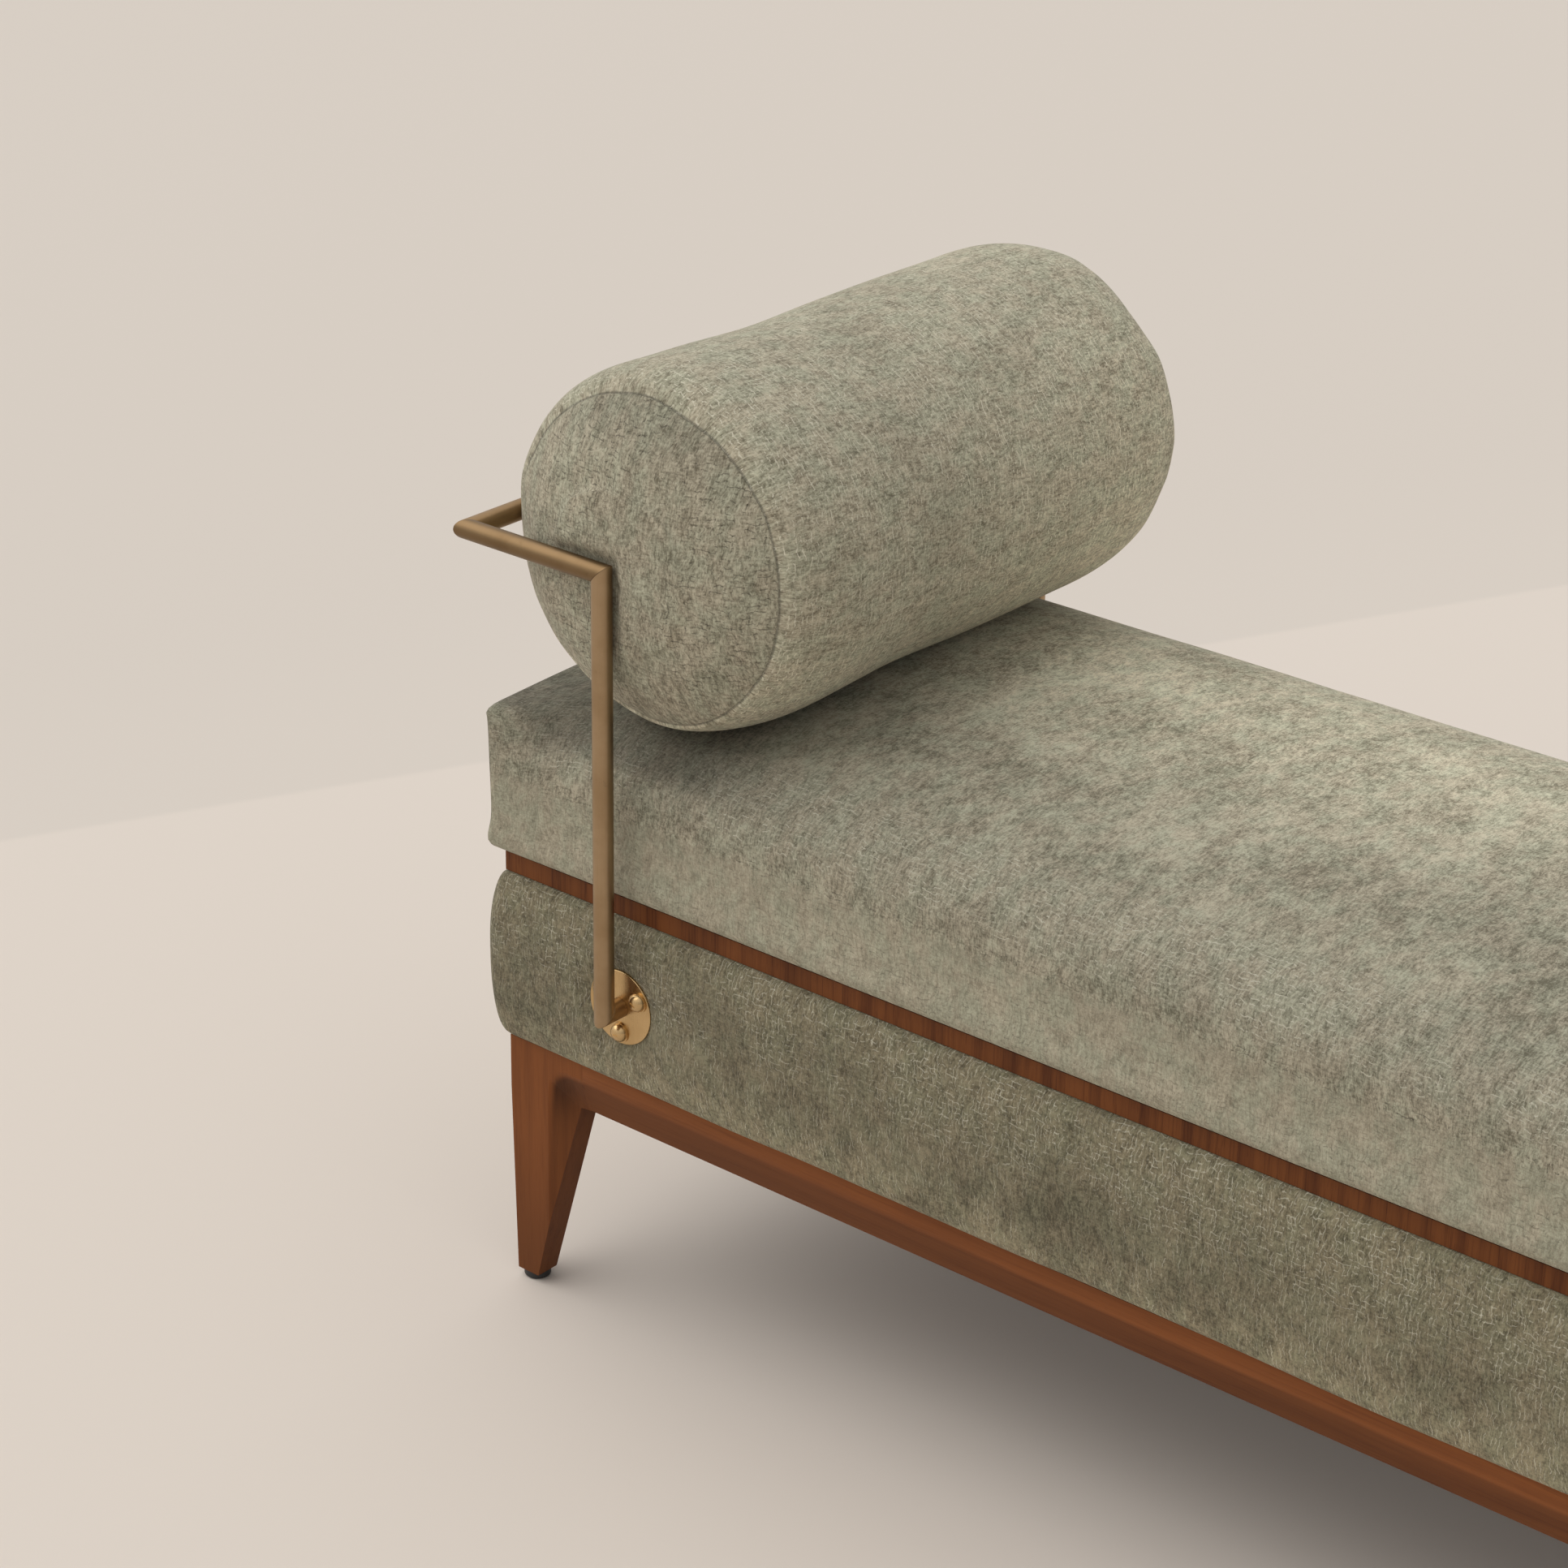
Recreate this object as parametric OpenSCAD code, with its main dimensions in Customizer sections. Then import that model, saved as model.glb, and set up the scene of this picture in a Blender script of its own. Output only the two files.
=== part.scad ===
// Upholstered daybed: walnut leg frame, padded base, wood band, loose mattress,
// and a bolster that lies in a brass rail at the left end.
// +X runs along the bed to the open end, -Y is the front, +Z is up.
// The origin is on the floor under the middle of the bed.

/* [Overall] */
// Length of the leg frame and of the wood band
frame_len = 1800; // [1500:10:2200]
// Depth of the wood band, front to back
frame_dep = 482; // [440:2:560]
// Height of the wood leg frame above the floor
frame_top = 223; // [190:1:280]
// Height of the padded base box
base_h = 146; // [120:1:180]

/* [Leg frame] */
// Set-back of the leg frame from the outside of the band
leg_inset = 1; // [0:0.5:6]
// Height of the rails
rail_h = 46; // [42:1:60]
// Thickness of the rails and of the legs at the top
rail_t = 30; // [26:1:36]
// Height of the upright strip above the bevel of a rail
rail_flat = 14; // [10:1:20]
// How far the bevel runs in under a rail
bevel_in = 11; // [6:1:14]
// Side of the square foot of a leg
foot = 22; // [20:1:30]
// Set-back of the foot from the outer faces of the leg
foot_inset = 2.4; // [0:0.2:6]
// Width of a leg where it meets the underside of the rail
leg_flare = 68; // [54:1:74]
// Width of the flat front of a leg just above the foot
leg_flat_low = 29; // [26:1:34]
// Width of the flat front of a leg just below the knee
leg_flat_high = 41; // [36:1:46]
// Radius of the knee between leg and rail
knee_r = 20; // [8:1:24]
// Length of each arm of a leg along the rails
knee_len = 78; // [76:1:110]
// Length of the rail tenons
tenon_len = 24; // [12:1:30]
// Thickness of the rail tenons
tenon_t = 10; // [6:1:12]
// Width of the cross rails under the box
cross_w = 34; // [26:1:60]
// Height of the cross rails
cross_h = 38; // [28:1:40]
// Distance of the outer cross rails from the middle
cross_x = 560; // [400:10:640]
// Length of the short sides of a corner block
block_side = 46; // [40:1:60]
// Height of a corner block
block_h = 36; // [24:1:38]
// Diameter of the corner bolts and box bolts
bolt_d = 6; // [5:0.5:8]

/* [Glides] */
// Diameter of a glide
glide_d = 22; // [16:1:30]
// Height of a glide below the leg
glide_h = 7; // [5:0.5:12]
// Diameter of the threaded stem of a glide
stem_d = 8; // [6:0.5:8]
// Length of the stem inside the leg
stem_len = 24; // [20:1:40]
// Wall of the threaded sleeve in the leg
sleeve_wall = 2; // [1:0.25:2.5]
// Length of the threaded sleeve
sleeve_len = 28; // [20:1:45]

/* [Base box] */
// Thickness of the box panels and ribs
panel_t = 18; // [15:1:22]
// Thickness of the cloth under the box
dust_t = 1; // [0.6:0.1:2]
// Distance from the box panels to the outside of the band
pad_t = 14; // [12:1:20]
// How far the padding stands out past the band
pad_bulge = 13.5; // [8:0.5:16]
// How far the padding draws in at its lower edge
pad_draw = 2; // [1:0.5:8]
// Height of the fullest line of the padding above the box bottom
pad_peak = 81; // [60:1:100]
// Thickness of the cover fabric
skin = 1.6; // [1:0.1:2.5]

/* [Band and deck] */
// Thickness of the wood band and of the deck inside it
band_t = 16; // [12:1:22]
// Width of the band strips seen from above
band_w = 24; // [20:1:32]
// Diameter of the air holes in the deck
vent_d = 30; // [16:1:50]
// Distance between air holes along the deck
vent_pitch = 180; // [120:10:260]

/* [Mattress] */
// Depth of the mattress
matt_dep = 509; // [470:1:590]
// How far the mattress runs past the band at each end
matt_over = 14.5; // [4:0.5:20]
// Thickness of the mattress in its middle
matt_h = 142.5; // [110:0.5:180]
// Height of the upright side, up to where the top rounds over
matt_side = 74.5; // [50:0.5:100]
// Drop of the top towards both ends
matt_end_drop = 12; // [4:1:24]
// Rounding of the lower edges
matt_low_r = 14; // [8:1:24]
// Rounding of the upright corners
matt_corner_r = 10; // [6:1:24]

/* [Bolster] */
// Diameter of the bolster where it is fullest
bolster_belly_d = 290; // [270:1:310]
// How much narrower the bolster is in its middle
bolster_waist_in = 9; // [0:0.5:16]
// How much narrower the seam round the front end is
bolster_front_in = 32; // [16:0.5:44]
// How much narrower the seam round the back end is
bolster_back_in = 22; // [8:0.5:40]
// Height of the crown of the front end beyond its seam
bolster_front_crown = 33; // [16:1:45]
// Height of the crown of the back end beyond its seam
bolster_back_crown = 20; // [12:1:45]
// Length over which the bolster narrows towards each seam
bolster_fall = 30; // [20:1:60]
// How far the crossbar presses into the side of the bolster
bolster_lean = 4.3; // [2:0.1:24]
// How far the mattress presses into the underside of the bolster
bolster_sink = 13.2; // [6:0.1:28]

/* [Brass rail] */
// Diameter of the brass tube
tube_d = 16; // [12:0.5:20]
// Wall of the brass tube
tube_wall = 2; // [1:0.25:3]
// Distance of the posts from the left end of the band
post_inset = 129; // [100:1:180]
// Distance from the front of the band to the post axis
post_out = 27.5; // [25:0.5:36]
// Height of the plates above the bottom of the base box
plate_up = 72; // [60:1:90]
// Height of the arms above the top of the mattress
arm_up = 131; // [110:1:170]
// Length of the arms from post to crossbar
arm_len = 135.5; // [110:0.5:180]
// Diameter of the round plates
plate_d = 62; // [54:1:80]
// Thickness of the round plates
plate_t = 3; // [2:0.5:5]
// Distance from the post axis to the face of the plate
stub_len = 17.8; // [16:0.2:24]
// Diameter of the screw circle on a plate
screw_pcd = 43; // [40:0.5:56]
// Diameter of the plate screws
screw_d = 6; // [4:0.5:7]
// Diameter of the domed screw heads
screw_head_d = 16.5; // [12:0.5:17]
// Height of the domed screw heads
screw_head_h = 6.5; // [4:0.5:8]
// Length of the plate screws
screw_len = 45; // [35:1:55]

/* [Zips] */
// Width of the zip tapes
zip_w = 12; // [8:1:20]
// Distance from each end of the mattress to its zip
matt_zip_end = 264.5; // [230:0.5:400]
// Length of the bolster zip
bolster_zip_len = 300; // [160:10:340]

/* [Hidden] */

$fn = 64;
seat = 0.3;          // clearance between a soft piece and what carries it
slip = 0.05;         // radial clearance of a bolt or stem in its hole
lap = 1;             // overrun of a cutting shape past the face it cuts
hull_fn = 32;        // roundness of the shapes inside a hull

half_len = frame_len / 2;
half_dep = frame_dep / 2;

// Leg frame
leg_x = half_len - leg_inset;
leg_y = half_dep - leg_inset;
rail_low = frame_top - rail_h;
flat_low = frame_top - rail_flat;
bevel_h = rail_h - rail_flat;
foot_mid = foot_inset + foot / 2;
tenon_z = rail_low + rail_h / 2;
tenon_h = rail_h * 0.5;
tenon_mid = bevel_in + (rail_t - bevel_in) / 2;
cross_len = 2 * (leg_y - rail_t);

// Base box
box_low = frame_top + dust_t;
box_high = frame_top + base_h;
box_x = half_len - pad_t;
box_y = half_dep - pad_t;
box_height = box_high - box_low;
bolt_y = leg_y - rail_t - 45;
bolt_head_d = 2 * bolt_d;
bolt_head_h = 0.6 * bolt_d;
bolt_grip = 40;
dust_margin = 6;

// Padding: two quarter curves above and below the fullest line
pad_full = pad_bulge + pad_draw;
pad_edge = pad_t - pad_draw;
pad_fat_low = 2.5;
pad_fat_high = 2.15;
pad_crest = 2.5;
pad_steps = 12;

// Deck and mattress
deck_top = box_high + band_t;
deck_x = half_len - band_w - 0.5;
deck_y = half_dep - band_w - 0.5;
vent_count = floor(frame_len * 0.8 / vent_pitch);
vent_y = frame_dep / 5;
matt_x = half_len + matt_over;
matt_y = matt_dep / 2;
matt_low = deck_top + seat;
matt_top = matt_low + matt_h;
matt_side_z = matt_low + matt_side;
matt_fat = 3.2;
matt_end_fat = 12;
matt_zip_len = 2 * (matt_x - matt_zip_end);
matt_zip_z = matt_low + matt_low_r + zip_w;
arc_steps = 6;
top_steps = 24;

// Brass rail
post_x = -(half_len - post_inset);
post_y = half_dep + post_out;
plate_z = frame_top + plate_up + 1;
arm_z = matt_top + arm_up;
bar_x = post_x - arm_len;
plate_face_y = post_y - stub_len;
plate_back_y = plate_face_y - plate_t;
spacer_d = plate_d - 12;
screw_angles = [30, 150, 270];
rail_path = [
    [post_x, -plate_face_y, plate_z],
    [post_x, -post_y, plate_z],
    [post_x, -post_y, arm_z],
    [bar_x, -post_y, arm_z],
    [bar_x, post_y, arm_z],
    [post_x, post_y, arm_z],
    [post_x, post_y, plate_z],
    [post_x, plate_face_y, plate_z]
];

// Bolster: pressed flat where it leans on the crossbar and where it lies on the mattress
bolster_r = bolster_belly_d / 2;
bolster_waist_r = (bolster_belly_d - bolster_waist_in) / 2;
bolster_front_r = (bolster_belly_d - bolster_front_in) / 2;
bolster_back_r = (bolster_belly_d - bolster_back_in) / 2;
bolster_half = post_y - tube_d / 2 - 2 * seat;
bolster_front_y = bolster_half - bolster_front_crown;
bolster_back_y = bolster_half - bolster_back_crown;
bolster_left = bar_x + tube_d / 2 + seat;
bolster_x = bolster_left + bolster_r - bolster_lean;
bolster_flat = sqrt(pow(bolster_r, 2) - pow(bolster_r - bolster_sink, 2));
bolster_low = matt_top_at(bolster_x + bolster_flat) + seat;
bolster_z = bolster_low + bolster_r - bolster_sink;
bolster_cap_fat = 3.5;
zip_t = 1.2;
zip_bolster_angle = 40;
zip_sweep = zip_w / (2 * PI * bolster_waist_r) * 360;
pull_len = 11;
pull_t = 2.4;
tab_len = 22;

walnut = [0.42, 0.24, 0.15];
plywood = [0.78, 0.64, 0.45];
sage = [0.56, 0.56, 0.47];
foam = [0.93, 0.88, 0.70];
brass = [0.70, 0.56, 0.38];
steel = [0.62, 0.62, 0.64];
black = [0.08, 0.08, 0.08];

// Height of the mattress top above the floor, along its middle line
function matt_top_at(x) = matt_top - matt_end_drop * pow(abs(x) / matt_x, matt_end_fat);

// A quarter of a squarish oval, as points from angle a to angle b
function lobe(rx, ry, fat, a, b, n) = [
    for (i = [0:n])
        let (t = a + (b - a) * i / n)
        [rx * pow(abs(cos(t)), 2 / fat) * sign(cos(t)), ry * pow(abs(sin(t)), 2 / fat) * sign(sin(t))]
];

// Points of a round arc about c, from angle a to angle b
function arc(c, r, a, b, n) = [
    for (i = [0:n])
        let (t = a + (b - a) * i / n)
        [c[0] + r * cos(t), c[1] + r * sin(t)]
];

function moved(points, by) = [for (p = points) p + by];

// Radius of the bolster at a distance from its middle, where the front is positive
function bolster_r_at(d) =
    let (
        seam_y = d > 0 ? bolster_front_y : bolster_back_y,
        seam_r = d > 0 ? bolster_front_r : bolster_back_r,
        full_y = seam_y - bolster_fall
    )
    abs(d) < full_y
        ? bolster_waist_r + (bolster_r - bolster_waist_r) * pow(abs(d) / full_y, 2)
        : bolster_r - (bolster_r - seam_r) * pow((abs(d) - full_y) / bolster_fall, 2);

// Crown of one end as (radius, height), from just inside its seam to its middle
function bolster_cap(r, crown) = [
    for (i = [1:pad_steps])
        let (t = 1 - pow(i / pad_steps, 1.3))
        [r * t, crown * (1 - pow(t, bolster_cap_fat))]
];

// Put a corner piece, modelled at the front left, at any corner
module at_corner(sx, sy) {
    mirror([sx > 0 ? 1 : 0, 0, 0])
        mirror([0, sy > 0 ? 1 : 0, 0])
            children();
}

// Put a front piece at the front or the back
module at_side(sy) {
    mirror([0, sy > 0 ? 1 : 0, 0]) children();
}

// Put a left piece at the left or the right
module at_end(sx) {
    mirror([sx > 0 ? 1 : 0, 0, 0]) children();
}

// Stretch an outline drawn as (y, z) along X, centred
module along_x(len) {
    rotate([90, 0, 90]) linear_extrude(len, center = true) children();
}

// Stretch an outline drawn as (x, z) along Y, centred
module along_y(len) {
    rotate([90, 0, 0]) linear_extrude(len, center = true) children();
}

// ---- Leg frame ----

// Tapered arm of a leg, from the square foot up to the rail
module leg_arm() {
    f0 = foot_inset;
    f1 = foot_inset + foot;
    polyhedron(
        points = [
            [f0, f0, glide_h], [f1, f0, glide_h], [f1, f1, glide_h], [f0, f1, glide_h],
            [0, 0, rail_low], [leg_flare, 0, rail_low], [leg_flare, rail_t, rail_low], [0, rail_t, rail_low]
        ],
        faces = [
            [0, 1, 2, 3], [7, 6, 5, 4], [0, 4, 5, 1], [1, 5, 6, 2], [2, 6, 7, 3], [3, 7, 4, 0]
        ]
    );
    translate([0, 0, rail_low]) cube([knee_len, rail_t, rail_h]);
}

// Wedge that cuts the bevel, round the knee and along the arm
module knee_bevel() {
    far = knee_len + lap;
    hull() {
        rotate([90, 0, 0]) linear_extrude(lap) {
            translate([leg_flat_high + knee_r, flat_low - knee_r]) circle(knee_r, $fn = hull_fn);
            polygon([[leg_flat_low, 0], [leg_flat_high, flat_low - knee_r], [far, flat_low - knee_r], [far, 0]]);
            translate([leg_flat_high + knee_r, flat_low - 2 * knee_r])
                square([far - leg_flat_high - knee_r, 2 * knee_r]);
        }
        translate([0, bevel_in, 0]) rotate([90, 0, 0]) linear_extrude(lap / 100)
            polygon([
                [leg_flat_low + bevel_h, 0], [leg_flat_high + bevel_h, rail_low - knee_r / 4],
                [leg_flat_high + bevel_h + knee_r / 4, rail_low], [far, rail_low], [far, 0]
            ]);
    }
}

// Swap X and Y, to turn the front arm into the side arm
module swapped() {
    mirror([1, -1, 0]) children();
}

module mortise() {
    translate([knee_len - tenon_len - slip, tenon_mid - tenon_t / 2 - slip, tenon_z - tenon_h / 2 - slip])
        cube([tenon_len + slip + lap, tenon_t + 2 * slip, tenon_h + 2 * slip]);
}

module leg(sx, sy) {
    color(walnut) at_corner(sx, sy) translate([-leg_x, -leg_y, 0]) difference() {
        union() {
            difference() {
                leg_arm();
                knee_bevel();
            }
            swapped() difference() {
                leg_arm();
                knee_bevel();
            }
        }
        mortise();
        swapped() mortise();
        translate([foot_mid, foot_mid, glide_h - lap])
            cylinder(d = stem_d + 2 * sleeve_wall + 2 * slip, h = sleeve_len + lap + slip);
        corner_bolt_hole(slip);
    }
}

module tenon_pair(len) {
    translate([-len / 2 - tenon_len, tenon_mid - tenon_t / 2, tenon_z - tenon_h / 2])
        cube([len + 2 * tenon_len, tenon_t, tenon_h]);
}

// A rail along the front, with its bevel outwards; its outer face is at y = 0
module rail_bar(len) {
    along_x(len)
        polygon([[0, frame_top], [0, flat_low], [bevel_in, rail_low], [rail_t, rail_low], [rail_t, frame_top]]);
    tenon_pair(len);
}

module long_rail(sy) {
    color(walnut) at_side(sy) translate([0, -leg_y, 0]) rail_bar(2 * (leg_x - knee_len));
}

module short_rail(sx) {
    color(walnut) at_end(sx) translate([-leg_x, 0, 0]) rotate([0, 0, -90]) rail_bar(2 * (leg_y - knee_len));
}

module bolt_holes(x, low, high) {
    for (sy = [-1, 1])
        translate([x, sy * bolt_y, low]) cylinder(d = bolt_d + 2 * slip, h = high - low);
}

module cross_rail(x) {
    color(walnut) difference() {
        translate([x - cross_w / 2, -cross_len / 2, frame_top - cross_h]) cube([cross_w, cross_len, cross_h]);
        bolt_holes(x, frame_top - cross_h - lap, frame_top + lap);
    }
}

// Axis of the bolt that draws a leg to its corner block, from the inside of the block
module on_bolt_axis() {
    reach = rail_t + block_side / 2;
    translate([reach, reach, frame_top - block_h / 2]) rotate([0, 0, 45]) rotate([0, -90, 0]) children();
}

module corner_bolt_hole(gap) {
    on_bolt_axis() translate([0, 0, -lap])
        cylinder(d = bolt_d + 2 * gap, h = block_side / sqrt(2) + 22 + lap);
}

module corner_blocks() {
    color(plywood) for (sx = [-1, 1], sy = [-1, 1])
        at_corner(sx, sy) translate([-leg_x, -leg_y, 0]) difference() {
            translate([rail_t, rail_t, frame_top - block_h]) linear_extrude(block_h)
                polygon([[0, 0], [block_side, 0], [0, block_side]]);
            corner_bolt_hole(slip);
        }
}

module corner_bolts() {
    color(steel) for (sx = [-1, 1], sy = [-1, 1])
        at_corner(sx, sy) translate([-leg_x, -leg_y, 0]) on_bolt_axis() {
            cylinder(d = bolt_d, h = block_side / sqrt(2) + 20);
            translate([0, 0, -bolt_head_h]) cylinder(d = bolt_head_d, h = bolt_head_h);
        }
}

module glide_sleeves() {
    color(steel) for (sx = [-1, 1], sy = [-1, 1])
        at_corner(sx, sy) translate([-leg_x + foot_mid, -leg_y + foot_mid, glide_h]) difference() {
            cylinder(d = stem_d + 2 * sleeve_wall, h = sleeve_len);
            translate([0, 0, -lap]) cylinder(d = stem_d + 2 * slip, h = sleeve_len + 2 * lap);
        }
}

module glide(sx, sy) {
    round_over = glide_h / 4;
    color(black) at_corner(sx, sy) translate([-leg_x + foot_mid, -leg_y + foot_mid, 0]) {
        cylinder(d1 = glide_d - 2 * round_over, d2 = glide_d, h = round_over);
        translate([0, 0, round_over]) cylinder(d = glide_d, h = glide_h - round_over);
        translate([0, 0, glide_h]) cylinder(d = stem_d, h = stem_len);
    }
}

// ---- Base box ----

module plate_bolt_holes(gap) {
    for (a = screw_angles)
        translate([post_x + cos(a) * screw_pcd / 2, 0, plate_z + sin(a) * screw_pcd / 2])
            rotate([90, 0, 0])
                cylinder(d = screw_d + 2 * gap, h = 2 * post_y, center = true);
}

module box_panel_long(sy) {
    color(plywood) difference() {
        at_side(sy) translate([-box_x, -box_y, box_low]) cube([2 * box_x, panel_t, box_height]);
        plate_bolt_holes(slip);
    }
}

module box_panel_short(sx) {
    color(plywood) at_end(sx) translate([-box_x, -(box_y - panel_t), box_low])
        cube([panel_t, 2 * (box_y - panel_t), box_height]);
}

module box_ribs() {
    color(plywood) for (x = [-cross_x, 0, cross_x])
        difference() {
            translate([x - panel_t / 2, -(box_y - panel_t), box_low])
                cube([panel_t, 2 * (box_y - panel_t), box_height]);
            bolt_holes(x, box_low - lap, box_low + bolt_grip + lap);
        }
}

module box_bolts() {
    color(steel) for (x = [-cross_x, 0, cross_x], sy = [-1, 1])
        translate([x, sy * bolt_y, frame_top - cross_h]) {
            cylinder(d = bolt_d, h = cross_h + dust_t + bolt_grip);
            translate([0, 0, -bolt_head_h]) cylinder(d = bolt_head_d, h = bolt_head_h);
        }
}

module dust_cover() {
    color(black) difference() {
        translate([-(box_x - dust_margin), -(box_y - dust_margin), frame_top])
            cube([2 * (box_x - dust_margin), 2 * (box_y - dust_margin), dust_t]);
        for (x = [-cross_x, 0, cross_x]) bolt_holes(x, frame_top - lap, box_low + lap);
    }
}

// Outline of the padding as (distance out from the panel, height), drawn in by inset
module pad_outline(inset) {
    low = lobe(pad_full - inset, pad_peak - inset, pad_fat_low, -90, 0, pad_steps);
    high = lobe(pad_full - inset, box_height - pad_peak + pad_crest - inset, pad_fat_high, 0, 90, pad_steps);
    intersection() {
        polygon(concat(
            [[0, box_low + inset]],
            moved(low, [pad_edge, box_low + pad_peak]),
            moved(high, [pad_edge, box_low + pad_peak]),
            [[0, box_high + pad_crest - inset]]
        ));
        translate([0, box_low + inset]) square([2 * (pad_t + pad_full), box_height - 2 * inset]);
    }
}

module cover_outline() {
    difference() {
        pad_outline(0);
        pad_outline(skin);
    }
}

// Room in the padding for the wooden spacer behind the plate
module spacer_room(sy) {
    at_side(sy) translate([post_x, -box_y, plate_z]) rotate([90, 0, 0])
        cylinder(d = spacer_d + 2 * seat, h = 2 * (pad_t + pad_full));
}

// Flat place that the plate presses into the padding
module plate_seat(sy) {
    at_side(sy) translate([post_x, -plate_back_y + seat, plate_z]) rotate([90, 0, 0])
        cylinder(d = plate_d + 4 * seat, h = pad_t + pad_full);
}

module run_front(len) {
    translate([0, -box_y, 0]) mirror([0, 1, 0]) along_x(len) children();
}

module run_left(len) {
    translate([-box_x, 0, 0]) mirror([1, 0, 0]) along_y(len) children();
}

// Padding along the left end, with a square turn at both corners
module end_wrap(inset) {
    reach = 2 * (pad_edge + pad_full);
    run_left(2 * box_y) pad_outline(inset);
    for (sy = [-1, 1])
        at_side(sy) intersection() {
            run_left(2 * box_y + reach) pad_outline(inset);
            run_front(2 * box_x + reach) pad_outline(inset);
        }
}

module base_pad_long(sy) {
    color(foam) difference() {
        at_side(sy) run_front(2 * box_x) pad_outline(skin);
        spacer_room(sy);
        plate_seat(sy);
    }
}

module base_pad_short(sx) {
    color(foam) at_end(sx) end_wrap(skin);
}

module base_cover_long(sy) {
    color(sage) difference() {
        at_side(sy) run_front(2 * box_x) cover_outline();
        spacer_room(sy);
        plate_seat(sy);
    }
}

module base_cover_short(sx) {
    color(sage) at_end(sx) difference() {
        end_wrap(0);
        end_wrap(skin);
    }
}

// ---- Band and deck ----

module band_strip(half_run, half_side) {
    translate([0, 0, box_high]) linear_extrude(band_t)
        polygon([
            [-half_run, -half_side], [half_run, -half_side],
            [half_run - band_w, -half_side + band_w], [-half_run + band_w, -half_side + band_w]
        ]);
}

module band_long(sy) {
    color(walnut) at_side(sy) band_strip(half_len, half_dep);
}

module band_short(sx) {
    color(walnut) rotate([0, 0, sx > 0 ? 90 : -90]) band_strip(half_dep, half_len);
}

module deck() {
    color(plywood) difference() {
        translate([-deck_x, -deck_y, box_high]) cube([2 * deck_x, 2 * deck_y, band_t]);
        for (i = [0:vent_count - 1], sy = [-1, 0, 1])
            translate([(i - (vent_count - 1) / 2) * vent_pitch, sy * vent_y, box_high - lap])
                cylinder(d = vent_d, h = band_t + 2 * lap);
    }
}

// ---- Mattress ----

// Cross-section as (y, height): upright sides, round lower edges, one crowned top
module matt_section(inset) {
    w = matt_y - inset;
    low = matt_low + inset;
    r = matt_low_r - inset;
    polygon(concat(
        arc([-w + r, low + r], r, 180, 270, arc_steps),
        arc([w - r, low + r], r, 270, 360, arc_steps),
        moved(lobe(w, matt_top - matt_side_z - inset, matt_fat, 0, 180, 2 * top_steps), [0, matt_side_z])
    ));
}

// Long section as (x, height): the top sinks a little towards both ends
module matt_profile(inset) {
    w = matt_x - inset;
    low = matt_low + inset;
    r = matt_low_r - inset;
    polygon(concat(
        arc([-w + r, low + r], r, 180, 270, arc_steps),
        arc([w - r, low + r], r, 270, 360, arc_steps),
        [
            for (i = [0:top_steps])
                let (t = 1 - 2 * i / top_steps, x = w * sign(t) * pow(abs(t), 0.4))
                [x, matt_top_at(x) - inset]
        ]
    ));
}

// Plan as (x, y) with rounded corners
module matt_plan(inset) {
    r = matt_corner_r - inset / 2;
    x = matt_x - inset - r;
    y = matt_y - inset - r;
    polygon(concat(
        arc([x, -y], r, 270, 360, arc_steps),
        arc([x, y], r, 0, 90, arc_steps),
        arc([-x, y], r, 90, 180, arc_steps),
        arc([-x, -y], r, 180, 270, arc_steps)
    ));
}

module matt_form(inset) {
    intersection() {
        along_x(2 * matt_x) matt_section(inset);
        along_y(2 * matt_y) matt_profile(inset);
        linear_extrude(2 * matt_top) matt_plan(inset);
    }
}

module mattress_core() {
    color(foam) matt_form(skin + seat);
}

module mattress_cover() {
    color(sage) difference() {
        matt_form(0);
        matt_form(skin);
    }
}

module mattress_zip() {
    color(black) translate([-matt_zip_len / 2, matt_y, matt_zip_z - zip_w / 2])
        cube([matt_zip_len, zip_t, zip_w]);
}

// Slider with its hanging tab, drawn flat on the plane y = 0
module zip_pull() {
    translate([-pull_len / 2, 0, -zip_w / 3]) cube([pull_len, pull_t, zip_w * 2 / 3]);
    translate([-pull_len / 2 - tab_len, pull_t / 4, -zip_w / 5]) cube([tab_len, pull_t / 2, zip_w * 2 / 5]);
}

module mattress_zip_pull() {
    color(brass) translate([matt_zip_len / 2 - pull_len, matt_y + zip_t + seat, matt_zip_z]) zip_pull();
}

// ---- Bolster ----

// Half outline as (radius, distance towards the front), grown outwards by grow
module bolster_outline(grow) {
    side = [
        for (i = [-top_steps:top_steps])
            let (
                reach = i > 0 ? bolster_front_y : bolster_back_y,
                d = reach * sign(i) * pow(abs(i) / top_steps, 0.7)
            )
            [bolster_r_at(d) + grow, d]
    ];
    front = bolster_cap(bolster_front_r + grow, bolster_front_crown + grow);
    back = bolster_cap(bolster_back_r + grow, bolster_back_crown + grow);
    polygon(concat(
        [for (i = [pad_steps - 1:-1:0]) [back[i][0], -bolster_back_y - back[i][1]]],
        side,
        [for (p = front) [p[0], bolster_front_y + p[1]]]
    ));
}

module on_bolster_axis() {
    translate([bolster_x, 0, bolster_z]) rotate([90, 0, 0]) children();
}

module bolster_form(grow) {
    intersection() {
        on_bolster_axis() rotate_extrude() bolster_outline(grow);
        translate([bolster_left - grow, -post_y, bolster_low - grow])
            cube([2 * bolster_r, 2 * post_y, 2 * bolster_r]);
    }
}

module bolster_core() {
    color(foam) bolster_form(-skin - seat);
}

module bolster_cover() {
    color(sage) difference() {
        bolster_form(0);
        bolster_form(-skin);
    }
}

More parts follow.
